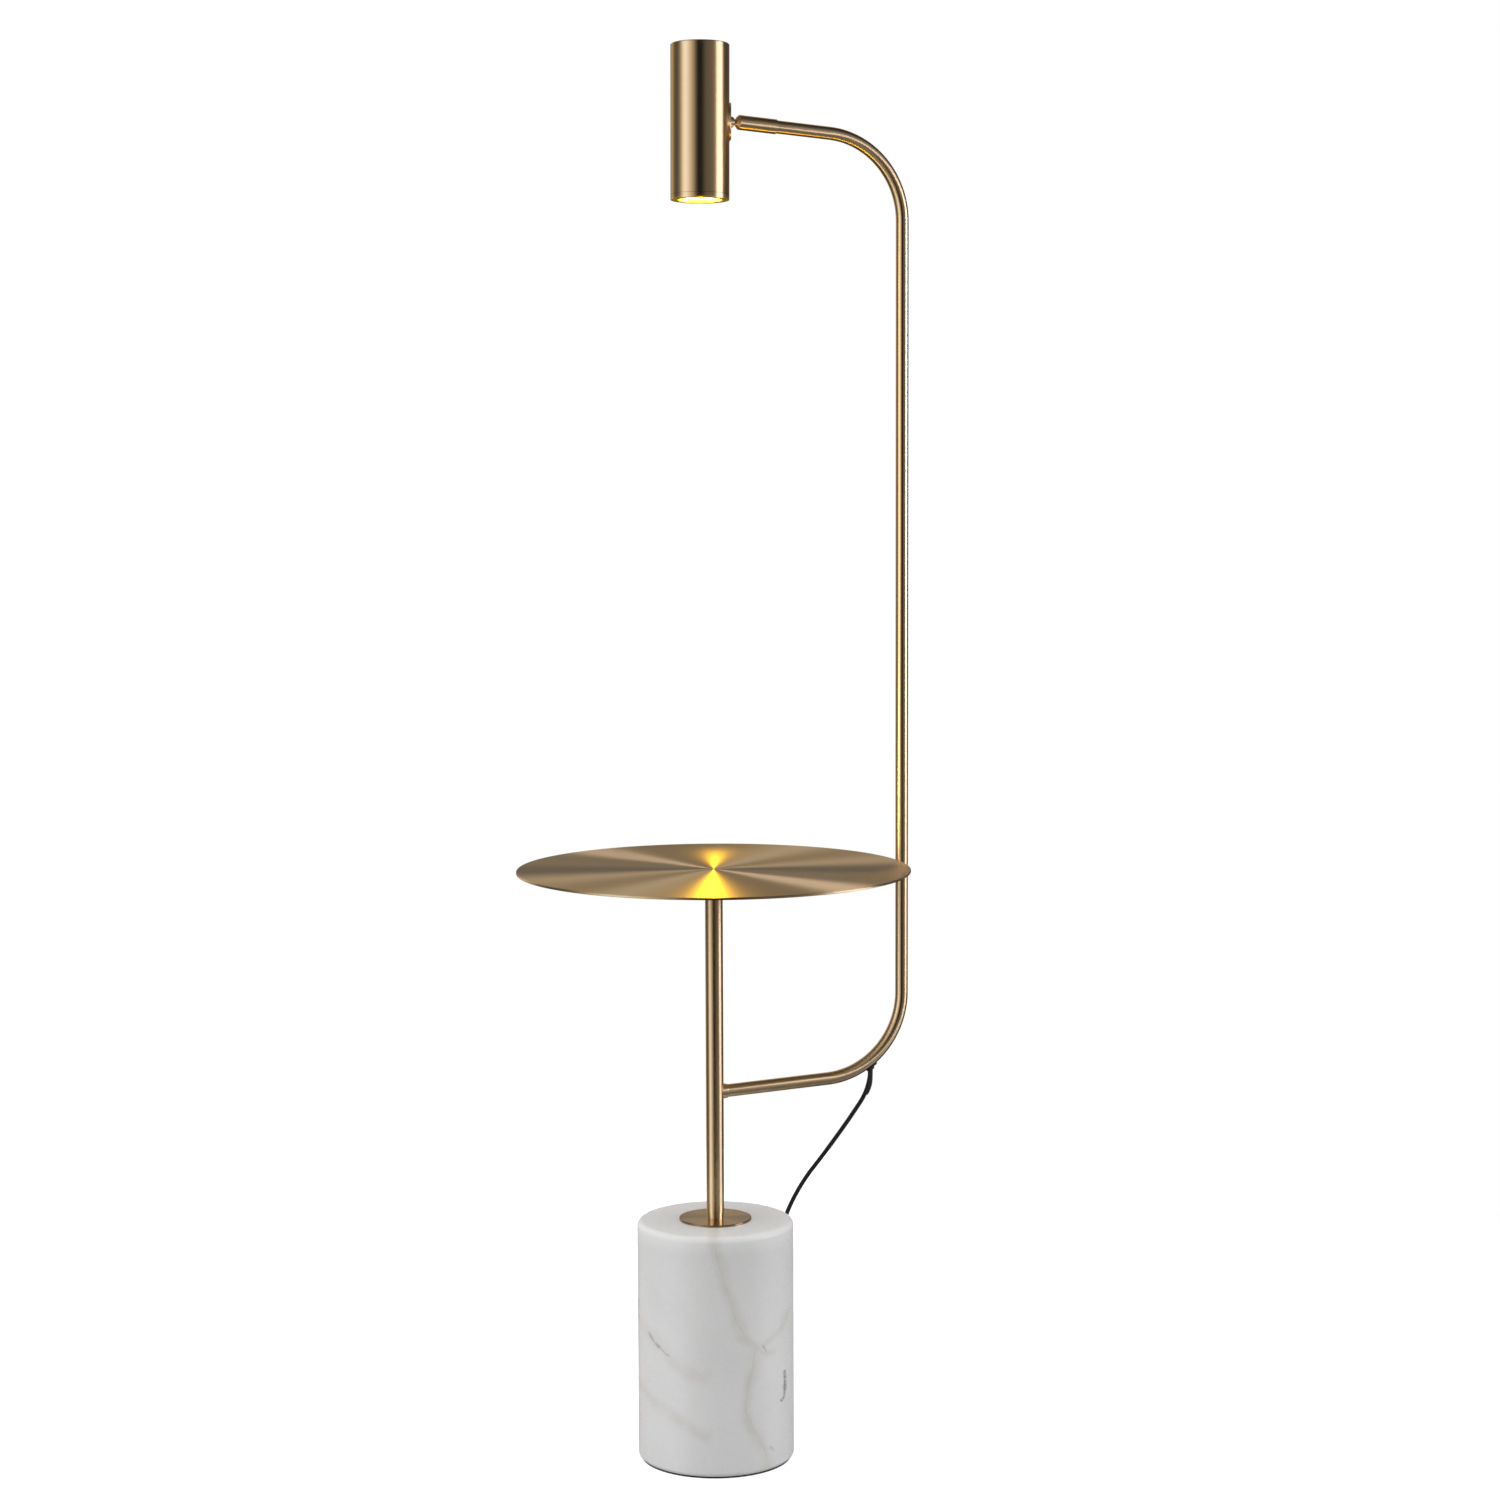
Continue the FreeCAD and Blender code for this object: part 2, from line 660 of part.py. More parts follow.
# ---- lamp head --------------------------------------------------------------------------------
def ball_stud():
    """Ball, neck, cone, flange and threaded end, drawn along Z from the ball towards the head."""
    flange_end = ball_reach - head_radius - saddle_thickness
    flange_start = flange_end - stud_flange_length
    cone_start = flange_start - stud_cone_length
    neck_start = math.sqrt(ball_radius ** 2 - neck_radius ** 2)
    seat_depth = head_radius + saddle_thickness
    deep = flange_end + stud_flange_radius
    quarter = stud_flange_round * (1 - math.sqrt(0.5))
    front = turned([(0, -ball_radius), ((ball_radius, 0), (neck_radius, neck_start)),
                    (neck_radius, cone_start), (stud_flange_radius - stud_flange_round, flange_start),
                    ((stud_flange_radius - quarter, flange_start + quarter),
                     (stud_flange_radius, flange_start + stud_flange_round)),
                    (stud_flange_radius, deep), (0, deep)])
    head_cylinder = placed(rod(seat_depth, head_bottom, head_top),
                           FreeCAD.Placement(V(0, 0, ball_reach), FreeCAD.Rotation(V(0, 0, 1), V(1, 0, 0))))
    front = front.cut(head_cylinder)
    thread = rod(head_stud_radius, flange_start, ball_reach - head_stud_inner_end)
    bore = rod(head_stud_bore_radius, -2 * ball_radius, ball_reach)
    stud = joined([front, thread]).cut(bore)
    toward_head = FreeCAD.Placement(V(ball_reach, 0, 0), FreeCAD.Rotation(V(0, 0, 1), V(-1, 0, 0)))
    return placed(stud, toward_head)


def make_head_casing():
    stud_hole = along_x(rod(head_stud_radius + hole_gap, 0, 2 * head_radius))
    shell = rod(head_radius, bezel_top, cap_bottom, head_bore_radius).cut(stud_hole)
    cap = turned([(0, cap_bottom), (head_radius, cap_bottom), (head_radius, head_top - cap_chamfer),
                  (head_radius - cap_chamfer, head_top), (0, head_top)])
    cap_spigot = rod(spigot_radius, cap_bottom - cap_spigot_length, cap_bottom + past,
                     spigot_radius - spigot_wall)
    bezel = rod(head_radius, head_bottom, bezel_top, bezel_aperture_radius)
    bezel = round_flat_rims(bezel, bezel_round, [head_bottom])
    lamp_seat = rod(lamp_rim_radius + hole_gap, head_bottom + bezel_lip, bezel_top + past)
    bezel_spigot = rod(spigot_radius, bezel_top - past, bezel_top + bezel_spigot_length,
                       spigot_radius - spigot_wall)
    saddle = rod(head_radius + saddle_thickness, -saddle_radius - past, saddle_radius + past, head_radius)
    saddle = saddle.common(along_x(rod(saddle_radius, 0, 2 * head_radius))).cut(stud_hole)
    inner_pad = along_x(rod(inner_pad_radius, inner_pad_face, head_radius))
    inner_pad = inner_pad.common(rod(head_bore_radius, -2 * inner_pad_radius, 2 * inner_pad_radius))
    nut_back = inner_pad_face - bracket_thickness
    nut = along_x(hex_nut(head_nut_flats, nut_back - head_nut_height, nut_back,
                          head_stud_radius + seat_gap))
    return {
        "head_shell": shell,
        "head_cap": joined([cap, cap_spigot]),
        "bezel_ring": joined([bezel.cut(lamp_seat), bezel_spigot]),
        "saddle_plate": saddle,
        "inner_pad": inner_pad.cut(stud_hole),
        "ball_stud": ball_stud(),
        "head_nut": nut,
    }


def make_lamp():
    lens_front = lamp_front
    neck_low = lamp_back - lamp_neck_length
    body = turned([(0, lens_front + lens_thickness), (lens_radius + seat_gap, lens_front + lens_thickness),
                   (lens_radius + seat_gap, lens_front), (lamp_rim_radius, lens_front),
                   (lamp_rim_radius, lens_front + lamp_rim_height),
                   ((lamp_rim_radius - lamp_flank_inset, (lens_front + neck_low) / 2), (lamp_neck_radius, neck_low)),
                   (lamp_neck_radius, lamp_back), (0, lamp_back)])
    lens = rod(lens_radius, lens_front, lens_front + lens_thickness)
    pin_end = lamp_back + lamp_pin_length
    pin = joined([rod(lamp_pin_radius, lamp_back, pin_end),
                  rod(lamp_pin_foot_radius, pin_end - lamp_pin_foot_length, pin_end)])
    holder = rod(holder_radius, lamp_back, holder_top)
    pins = []
    for side in (-1, 1):
        y = side * lamp_pin_spacing / 2
        pins.append(moved(pin, 0, y))
        holder = holder.cut(moved(rod(holder_pin_bore_radius, lamp_back - past,
                                      lamp_back + holder_pin_bore_depth), 0, y))
    plate_top = holder_top + bracket_thickness
    leg_front = inner_pad_face - bracket_thickness
    bracket = joined([box((-holder_radius, -bracket_width / 2, holder_top),
                          (inner_pad_face, bracket_width / 2, plate_top)),
                      box((leg_front, -bracket_width / 2, holder_top),
                          (inner_pad_face, bracket_width / 2, bracket_overhang))])
    bracket = bracket.cut(along_x(rod(head_stud_radius + hole_gap, 0, 2 * head_radius)))
    screws = []
    for side in (-1, 1):
        x = side * holder_screw_spacing / 2
        head = rod(holder_screw_head_radius, plate_top, plate_top + holder_screw_head_height)
        shank = rod(holder_screw_radius, plate_top - holder_screw_length,
                    plate_top + holder_screw_head_height / 2)
        screws.append(moved(joined([head, shank]), x))
        bracket = bracket.cut(moved(rod(holder_screw_radius + hole_gap, holder_top - past, plate_top + past), x))
        holder = holder.cut(moved(rod(holder_screw_radius + seat_gap, plate_top - holder_screw_length,
                                      holder_top + past), x))
    bracket = bracket.cut(rod(2 * head_stud_bore_radius, holder_top - past, plate_top + past))
    lead_points = [V(head_stud_inner_end, 0, 0), V(0, 0, 0), V(0, 0, holder_top)]
    lead = swept(route(lead_points)[0], lead_points[0], lead_points[1], head_stud_bore_radius)
    return {
        "lamp_body": body,
        "lamp_lens": lens,
        "lamp_pins": group(pins),
        "lamp_holder": holder,
        "holder_bracket": bracket,
        "holder_screws": group(screws),
        "head_lead": lead,
    }


# ---- cord, switch and plug --------------------------------------------------------------------
def make_grommet():
    """Rubber bushing in the lower bend with an oval lip that hugs the tube and a tapered relief."""
    top = cord_exit_z + tube_radius / 2
    low = cord_exit_z - relief_length
    points = [V(0, 0, lower_arm_height), lower_corner, V(stem_x, 0, stem_seam)]
    wire = route(points, [bend_radius])[0]
    hug = swept(wire, points[0], points[1], tube_radius + grommet_lip_thickness)
    tube = swept(wire, points[0], points[1], tube_radius)
    lip = moved(rod(grommet_lip_radius, low, cord_exit_z + 2 * tube_radius),
                cord_exit_x + grommet_lip_shift)
    lip = lip.common(hug).cut(tube)
    lip = min(lip.Solids, key=lambda solid: solid.CenterOfMass.z)
    body = moved(rod(grommet_radius - seat_gap, cord_exit_z - past, top), cord_exit_x)
    cord_edges = route(hanging_route)[0].OrderedEdges
    bend_start = cord_edges[0].BoundBox.ZMin
    cone = moved(turned([(0, bend_start), (relief_end_radius, bend_start),
                         (relief_top_radius, cord_exit_z), (0, cord_exit_z)]), cord_exit_x)
    bend = swept(Part.Wire(cord_edges[:2]), hanging_route[0], hanging_route[1], relief_end_radius)
    bore = swept(Part.Wire(cord_edges[:3]), hanging_route[0], hanging_route[1], cord_radius + seat_gap)
    upper_bore = moved(rod(cord_radius + hole_gap, cord_exit_z - past, top + past), cord_exit_x)
    return joined([lip, body, cone, bend]).cut(bore).cut(upper_bore)


def stored(shape, centre):
    """Places a shape drawn along X where the stored cord lies."""
    return placed(shape, FreeCAD.Placement(centre, stored_turn))


def rounded_block(length, width, low, high, corner):
    """A block with rounded upright corners, centred on the Z axis."""
    block = box((-length / 2, -width / 2, low), (length / 2, width / 2, high))
    upright = [edge for edge in block.Edges if edge.BoundBox.ZLength > (high - low) / 2]
    return block.makeFillet(corner, upright)


def make_switch():
    split = switch_axis_height
    cord_way = along_x(rod(cord_radius + seat_gap, -switch_length, switch_length))
    cord_way = moved(cord_way, 0, 0, switch_axis_height)
    inner_corner = switch_corner - switch_wall
    lower = rounded_block(switch_length, switch_width, 0, split, switch_corner)
    lower = round_flat_rims(lower, switch_edge_round / 2, [0])
    lower = lower.cut(rounded_block(switch_length - 2 * switch_wall, switch_width - 2 * switch_wall,
                                    switch_wall, split + past, inner_corner))
    upper = rounded_block(switch_length, switch_width, split, switch_height, switch_corner)
    upper = round_flat_rims(upper, switch_edge_round, [switch_height])
    ceiling = switch_height - switch_wall
    upper = upper.cut(rounded_block(switch_length - 2 * switch_wall, switch_width - 2 * switch_wall,
                                    split - past, ceiling, inner_corner))
    upper = upper.cut(rod(button_radius + button_gap, ceiling - past, switch_height + past))
    button_bottom = ceiling - button_gap - button_flange
    button = joined([rod(button_radius, button_bottom, switch_height + button_proud),
                     rod(button_radius + button_flange, button_bottom, ceiling - button_gap)])
    button = round_flat_rims(button, button_round, [switch_height + button_proud])
    core_top = button_bottom - button_travel - button_gap
    core = rounded_block(switch_core_length, switch_core_width, switch_wall, core_top, button_flange)
    core = core.cut(cord_way)
    pieces = {
        "switch_base": lower.cut(cord_way),
        "switch_cover": upper.cut(cord_way),
        "switch_button": button,
        "switch_core": core,
    }
    return {name: stored(shape, switch_centre) for name, shape in pieces.items()}


def make_coil():
    coil = rod(coil_outer_radius, coil_bottom, coil_top, coil_inner_radius)
    coil = round_flat_rims(coil, coil_edge_round, [coil_bottom, coil_top])
    side = (coil_inner_radius + coil_outer_radius) / 2
    reach = (coil_outer_radius - coil_inner_radius) / 2 + tie_gap
    rise_low = coil_bottom - seat_gap
    rise_high = coil_top + seat_gap
    band = box((side - reach - tie_thickness, -tie_width / 2, rise_low - tie_thickness),
               (side + reach + tie_thickness, tie_width / 2, rise_high + tie_thickness))
    band = band.cut(box((side - reach, -tie_width, rise_low), (side + reach, tie_width, rise_high)))
    tie_turn = FreeCAD.Rotation(V(0, 0, 1), tie_direction)
    tie = placed(band, FreeCAD.Placement(coil_centre, tie_turn))
    return {"cord_coil": moved(coil, coil_centre.x, coil_centre.y), "coil_tie": tie}


def make_plug():
    """Flat two-pin plug: its tapered tail is at the origin and its pins point along +Y here."""
    body_start = plug_relief_length
    body_end = body_start + plug_body_length
    waist = body_start + plug_waist
    half_height = plug_body_height / 2
    corners = [V(-plug_tail_width / 2, body_start, -half_height), V(plug_tail_width / 2, body_start, -half_height),
               V(plug_body_width / 2, waist, -half_height), V(plug_body_width / 2, body_end, -half_height),
               V(-plug_body_width / 2, body_end, -half_height), V(-plug_body_width / 2, waist, -half_height)]
    body = Part.Face(Part.makePolygon(corners + corners[:1])).extrude(V(0, 0, plug_body_height))
    body = body.makeFillet(plug_edge_round, body.Edges)
    relief = turned([(0, 0), (cord_radius + plug_relief_wall, 0), (2 * cord_radius, plug_relief_length + 2 * past),
                     (0, plug_relief_length + 2 * past)])
    relief = relief.cut(rod(cord_radius + seat_gap, -1, plug_relief_length / 2))
    along_y = FreeCAD.Placement(V(0, 0, 0), FreeCAD.Rotation(V(0, 0, 1), V(0, 1, 0)))
    body = joined([body, placed(relief, along_y)])
    pins = []
    for side in (-1, 1):
        pin = rod(plug_pin_radius, body_end, body_end + plug_pin_length)
        pin = round_flat_rims(pin, plug_pin_radius / 2, [body_end + plug_pin_length])
        pins.append(moved(placed(pin, along_y), side * plug_pin_spacing / 2))
    return {"plug_body": stored(body, plug_tail), "plug_pins": stored(group(pins), plug_tail)}


def make_cord():
    pieces = {"cord_grommet": make_grommet()}
    for name, points in (("cord_hanging", hanging_route), ("cord_floor", floor_route),
                         ("cord_tail", tail_route)):
        wire, radii = route(points)
        solid = swept(wire, points[0], points[1], cord_radius)
        share = solid.Volume / (math.pi * cord_radius ** 2 * wire.Length)
        print(name, "length", round(wire.Length, 1), "volume share", round(share, 4),
              "radii", [round(radius, 1) for radius in radii])
        pieces[name] = solid
    pieces.update(make_switch())
    pieces.update(make_coil())
    pieces.update(make_plug())
    return pieces


def main():
    pieces = {}
    pieces.update(make_base())
    pieces.update(make_column())
    pieces.update(make_table())
    pieces.update(make_stem())
    pieces.update(make_lead())
    pieces.update(make_swivel())
    head = {}
    head.update(make_head_casing())
    head.update(make_lamp())
    pieces.update({name: placed(shape, head_place) for name, shape in head.items()})
    pieces.update(make_cord())
    os.makedirs("parts", exist_ok=True)
    for name, shape in pieces.items():
        shape.exportStep(os.path.join("parts", name + ".step"))
    print(len(pieces), "pieces")


main()
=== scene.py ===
import math

import bpy
from mathutils import Matrix, Vector


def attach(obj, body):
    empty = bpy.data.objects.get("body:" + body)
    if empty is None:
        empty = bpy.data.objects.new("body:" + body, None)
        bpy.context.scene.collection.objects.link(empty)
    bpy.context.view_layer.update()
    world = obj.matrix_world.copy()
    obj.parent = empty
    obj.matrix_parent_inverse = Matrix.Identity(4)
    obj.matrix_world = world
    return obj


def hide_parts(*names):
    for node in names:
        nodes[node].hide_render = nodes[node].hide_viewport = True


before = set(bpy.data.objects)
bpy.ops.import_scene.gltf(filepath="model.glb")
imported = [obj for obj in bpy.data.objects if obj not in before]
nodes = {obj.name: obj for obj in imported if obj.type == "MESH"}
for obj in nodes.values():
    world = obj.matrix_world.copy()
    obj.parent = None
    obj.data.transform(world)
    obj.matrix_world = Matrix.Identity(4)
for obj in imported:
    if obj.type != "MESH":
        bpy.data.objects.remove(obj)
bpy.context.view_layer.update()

scene = bpy.context.scene
MM = 0.001

# ---- places, in millimetres as in the part's source ------------------------------------------
BALL = Vector((32.2, 0.0, 1356.88))
HEAD_AXIS_X = -10.5
HEAD_FOOT = 79.7             # from the head's centre down its axis to the opening
HEAD_LEAN = math.radians(2.0)
HEAD_SIDE_LEAN = math.radians(1.0)
UPPER_SLOPE = math.radians(4.65)
LOWER_SLOPE = math.radians(2.25)
LOWER_ARM_START = Vector((0.0, 0.0, 380.0))
LOWER_BEND_CENTRE = Vector((120.6, 0.0, 470.8))
UPPER_BEND_CENTRE = Vector((120.6, 0.0, 1263.4))
BEND_RADIUS = 86.0

UP = Vector((0.0, 0.0, 1.0))
ORIGIN = Vector((0.0, 0.0, 0.0))
HEAD_TURN = Matrix.Rotation(HEAD_SIDE_LEAN, 3, "Y") @ Matrix.Rotation(-HEAD_LEAN, 3, "X")
HEAD_AXIS = HEAD_TURN @ UP
HEAD_CENTRE = BALL + HEAD_TURN @ Vector((HEAD_AXIS_X - BALL.x, 0.0, 0.0))
UPPER_AXIS = Vector((math.cos(UPPER_SLOPE), 0.0, -math.sin(UPPER_SLOPE)))
LOWER_AXIS = Vector((math.cos(LOWER_SLOPE), 0.0, math.sin(LOWER_SLOPE)))


# ---- camera ----------------------------------------------------------------------------------
CAMERA_PLACE = Vector((-1.0448, -2.9744, 1.0460))    # metres
CAMERA_TURN = math.radians(20.033)
CAMERA_DOWN = math.radians(5.705)
CAMERA_ROLL = math.radians(-0.218)
CAMERA_LENS = 75.24          # millimetres, as the sensor's width
CAMERA_SENSOR = 36.0

forward = Vector((math.sin(CAMERA_TURN) * math.cos(CAMERA_DOWN),
                  math.cos(CAMERA_TURN) * math.cos(CAMERA_DOWN),
                  -math.sin(CAMERA_DOWN)))
level_right = Vector((math.cos(CAMERA_TURN), -math.sin(CAMERA_TURN), 0.0))
level_up = level_right.cross(forward)
cam_right = level_right * math.cos(CAMERA_ROLL) + level_up * math.sin(CAMERA_ROLL)
cam_up = level_up * math.cos(CAMERA_ROLL) - level_right * math.sin(CAMERA_ROLL)

camera_data = bpy.data.cameras.new("camera")
camera_data.lens = CAMERA_LENS
camera_data.sensor_width = CAMERA_SENSOR
camera_data.clip_start = 0.05
camera_data.clip_end = 60.0
camera = bpy.data.objects.new("camera", camera_data)
scene.collection.objects.link(camera)
turn = Matrix((cam_right, cam_up, -forward)).transposed().to_4x4()
camera.matrix_world = Matrix.Translation(CAMERA_PLACE) @ turn
scene.camera = camera
scene.view_settings.view_transform = "Standard"


# ---- node helpers ----------------------------------------------------------------------------
class Net:
    """Short calls for building a node tree: an input is a socket or a plain value."""

    def __init__(self, tree):
        self.tree = tree
        tree.nodes.clear()

    def node(self, kind, **settings):
        made = self.tree.nodes.new(kind)
        for name, value in settings.items():
            setattr(made, name, value)
        return made

    def put(self, socket, value):
        if isinstance(value, bpy.types.NodeSocket):
            self.tree.links.new(value, socket)
        elif isinstance(value, (Vector, tuple, list)):
            wanted = len(socket.default_value)
            value = tuple(value)
            socket.default_value = value + (1.0,) * (wanted - len(value))
        else:
            socket.default_value = value

    def num(self, operation, *values, clamp=False):
        made = self.node("ShaderNodeMath", operation=operation, use_clamp=clamp)
        for index, value in enumerate(values):
            self.put(made.inputs[index], value)
        return made.outputs[0]

    def vec(self, operation, *values, scale=None):
        made = self.node("ShaderNodeVectorMath", operation=operation)
        for index, value in enumerate(values):
            self.put(made.inputs[index], value)
        if scale is not None:
            self.put(made.inputs["Scale"], scale)
        single = operation in ("DOT_PRODUCT", "LENGTH")
        return made.outputs["Value" if single else 0]

    def join(self, x, y, z):
        made = self.node("ShaderNodeCombineXYZ")
        for index, value in enumerate((x, y, z)):
            self.put(made.inputs[index], value)
        return made.outputs[0]

    def part(self, vector, axis):
        made = self.node("ShaderNodeSeparateXYZ")
        self.put(made.inputs[0], vector)
        return made.outputs[axis]

    def span(self, value, low, high, to_low=0.0, to_high=1.0, smooth=False):
        made = self.node("ShaderNodeMapRange", clamp=True)
        made.interpolation_type = "SMOOTHSTEP" if smooth else "LINEAR"
        for index, item in enumerate((value, low, high, to_low, to_high)):
            self.put(made.inputs[index], item)
        return made.outputs[0]

    def noise(self, vector, scale, detail=2.0, roughness=0.5, distortion=0.0, colour=False):
        made = self.node("ShaderNodeTexNoise")
        self.put(made.inputs["Vector"], vector)
        made.inputs["Scale"].default_value = scale
        made.inputs["Detail"].default_value = detail
        made.inputs["Roughness"].default_value = roughness
        made.inputs["Distortion"].default_value = distortion
        return made.outputs["Color" if colour else 0]

    def mix(self, factor, first, second):
        made = self.node("ShaderNodeMix", data_type="RGBA")
        self.put(made.inputs[0], factor)
        self.put(made.inputs[6], first)
        self.put(made.inputs[7], second)
        return made.outputs[2]

    def ramp(self, value, stops):
        made = self.node("ShaderNodeValToRGB")
        self.put(made.inputs[0], value)
        elements = made.color_ramp.elements
        while len(elements) < len(stops):
            elements.new(0.5)
        for element, (place, colour) in zip(elements, stops):
            element.position = place
            element.color = (*colour, 1.0)
        return made.outputs[0]

    def bump(self, height, strength, distance, normal=None):
        made = self.node("ShaderNodeBump")
        self.put(made.inputs["Height"], height)
        if normal is not None:
            self.put(made.inputs["Normal"], normal)
        made.inputs["Strength"].default_value = strength
        made.inputs["Distance"].default_value = distance
        return made.outputs[0]

    def place(self):
        return self.node("ShaderNodeTexCoord").outputs["Object"]

    def shader(self, **values):
        made = self.node("ShaderNodeBsdfPrincipled")
        for name, value in values.items():
            self.put(made.inputs[name.replace("_", " ")], value)
        out = self.node("ShaderNodeOutputMaterial")
        self.tree.links.new(made.outputs[0], out.inputs["Surface"])
        return made


def new_material(name):
    material = bpy.data.materials.new(name)
    material.use_nodes = True
    return material, Net(material.node_tree)


# ---- studio: white to the camera, soft boxes left and right in reflections, dark between -----
TO_CAMERA = Vector((-math.sin(CAMERA_TURN), -math.cos(CAMERA_TURN), 0.0))
# Levels by degrees round the lamp from the camera's side, positive to the right.
SIDE_BANDS = [
    (-180, 0.20), (-166, 0.22), (-156, 0.38), (-144, 0.43), (-134, 0.34), (-122, 0.09),
    (-107, 0.06), (-96, 0.10), (-84, 0.27), (-74, 0.74), (-64, 1.05), (-54, 1.02), (-39, 0.72),
    (-24, 0.36), (-15, 0.11), (-8, 0.012), (7, 0.012), (15, 0.05), (24, 0.12), (42, 0.14),
    (54, 0.20), (63, 0.48), (72, 0.88), (86, 1.08), (96, 0.98), (105, 0.38), (113, 0.09),
    (124, 0.04), (140, 0.05), (166, 0.17), (180, 0.20),
]
# Levels by degrees above the horizon.
HEIGHT_BANDS = [
    (-90, 0.28), (-65, 0.36), (-50, 0.28), (-34, 0.22), (-16, 0.95), (-2, 1.60), (16, 1.70),
    (28, 1.25), (42, 0.46), (57, 0.18), (72, 0.08), (90, 0.03),
]
# On the right, where the soft box is a light of its own, a dimmer level strip lies behind it.
STRIP_HEIGHTS = [
    (-90, 0.30), (-60, 0.46), (-36, 0.40), (-18, 0.62), (-6, 0.82), (11, 0.82), (22, 0.46),
    (36, 0.20), (50, 0.10), (70, 0.04), (90, 0.02),
]
STRIP_SIDES = [(-180, 0.0), (42, 0.0), (60, 1.0), (112, 1.0), (126, 0.0), (180, 0.0)]
BOX_TURN = math.radians(84.0)          # round the lamp from the camera's side
BOX_AWAY = 1.9
BOX_HEIGHT = 1.02
BOX_WIDTH = 1.10
BOX_TALL = 0.55
BOX_POWER = 11.5
BOX_COLOUR = (0.96, 0.90, 1.0)
# Straight behind, the level rises with the height.
BACK_HEIGHTS = [
    (-90, 0.30), (-4, 0.50), (4, 0.62), (9, 0.72), (13, 1.0), (20, 1.90), (40, 2.40), (62, 2.0),
    (80, 1.0), (90, 0.60),
]
BACK_SIDES = [(-180, 1.0), (-166, 1.0), (-152, 0.0), (152, 0.0), (166, 1.0), (180, 1.0)]
# The tint that goes with each level: cool in the shade, warm between, pale in the soft boxes.
TINTS = [
    (0.0, (1.0, 1.22, 1.60)), (0.03, (1.0, 1.12, 1.30)), (0.10, (1.0, 0.95, 0.86)),
    (0.30, (1.0, 0.88, 0.74)), (0.65, (1.0, 0.88, 0.74)), (0.92, (1.0, 0.98, 0.95)),
    (1.10, (1.0, 1.09, 1.24)), (3.0, (1.0, 1.12, 1.35)),
]
# What lights the matt parts: soft levels round the lamp, by height, and from overhead.
SOFT_SIDES = [
    (-180, 0.30), (-130, 0.38), (-85, 1.16), (-55, 1.42), (-28, 0.30), (0, 0.01), (25, 0.01),
    (55, 0.42), (80, 1.50), (105, 1.20), (140, 0.38), (180, 0.30),
]
SOFT_HEIGHTS = [(-90, 0.5), (-10, 0.8), (30, 0.9), (55, 1.1), (70, 2.1), (90, 2.6)]
OVERHEAD = [(-90, 0.0), (50, 0.0), (76, 4.9), (90, 5.8)]


def tinted(level):
    """The colour of a band at a level, with the tint between its two neighbours in the list."""
    for (low, first), (high, second) in zip(TINTS, TINTS[1:]):
        if level <= high:
            return Vector(first).lerp(Vector(second), (level - low) / (high - low)) * level
    return Vector(TINTS[-1][1]) * level


def grey(level):
    return (level,) * 3


def round_stops(bands, tint=grey):
    """Colour ramp stops from levels by degrees round the lamp."""
    return [((degrees + 180) / 360, tint(level)) for degrees, level in bands]


def height_stops(bands):
    """Colour ramp stops from levels by degrees above the horizon."""
    return [(math.sin(math.radians(degrees)) / 2 + 0.5, grey(level)) for degrees, level in bands]


def build_world():
    """White for the camera, sharp bands for reflections, soft levels for everything else."""
    world = bpy.data.worlds.new("studio")
    world.use_nodes = True
    scene.world = world
    world.cycles.sampling_method = "NONE"
    net = Net(world.node_tree)
    direction = net.node("ShaderNodeTexCoord").outputs["Generated"]
    toward = net.vec("DOT_PRODUCT", direction, TO_CAMERA)
    across = net.vec("DOT_PRODUCT", direction, level_right)
    around = net.num("ARCTAN2", across, toward)
    turned = net.num("MULTIPLY_ADD", around, 0.5 / math.pi, 0.5)
    height = net.num("MULTIPLY_ADD", net.part(direction, 2), 0.5, 0.5)
    by_height = net.ramp(height, height_stops(HEIGHT_BANDS))
    for sides, heights in ((STRIP_SIDES, STRIP_HEIGHTS), (BACK_SIDES, BACK_HEIGHTS)):
        share = net.ramp(turned, round_stops(sides))
        by_height = net.mix(share, by_height, net.ramp(height, height_stops(heights)))
    sharp = net.vec("MULTIPLY", net.ramp(turned, round_stops(SIDE_BANDS, tinted)), by_height)
    soft = net.vec("MULTIPLY", net.ramp(turned, round_stops(SOFT_SIDES)),
                   net.ramp(height, height_stops(SOFT_HEIGHTS)))
    soft = net.vec("ADD", soft, net.ramp(height, height_stops(OVERHEAD)))
    rays = net.node("ShaderNodeLightPath")
    seen = net.mix(rays.outputs["Is Glossy Ray"], soft, sharp)
    seen = net.mix(rays.outputs["Is Camera Ray"], seen, (1.0, 1.0, 1.0))
    background = net.node("ShaderNodeBackground")
    net.put(background.inputs["Color"], seen)
    out = net.node("ShaderNodeOutputWorld")
    net.tree.links.new(background.outputs[0], out.inputs["Surface"])


def place_light(light, matrix):
    """A light in the scene, itself unseen by the camera."""
    made = bpy.data.objects.new(light.name, light)
    scene.collection.objects.link(made)
    made.matrix_world = matrix
    made.visible_camera = False
    return made


def build_soft_box():
    """The right-hand soft box, so near that the low arm sees it higher than the high arm does."""
    light = bpy.data.lights.new("soft_box", "AREA")
    light.shape = "RECTANGLE"
    light.size = BOX_WIDTH
    light.size_y = BOX_TALL
    light.color = BOX_COLOUR
    light.energy = BOX_POWER
    outward = TO_CAMERA * math.cos(BOX_TURN) + level_right * math.sin(BOX_TURN)
    facing = outward.to_track_quat("Z", "Y").to_matrix().to_4x4()
    place = Matrix.Translation(outward * BOX_AWAY + UP * BOX_HEIGHT)
    place_light(light, place @ facing).visible_diffuse = False


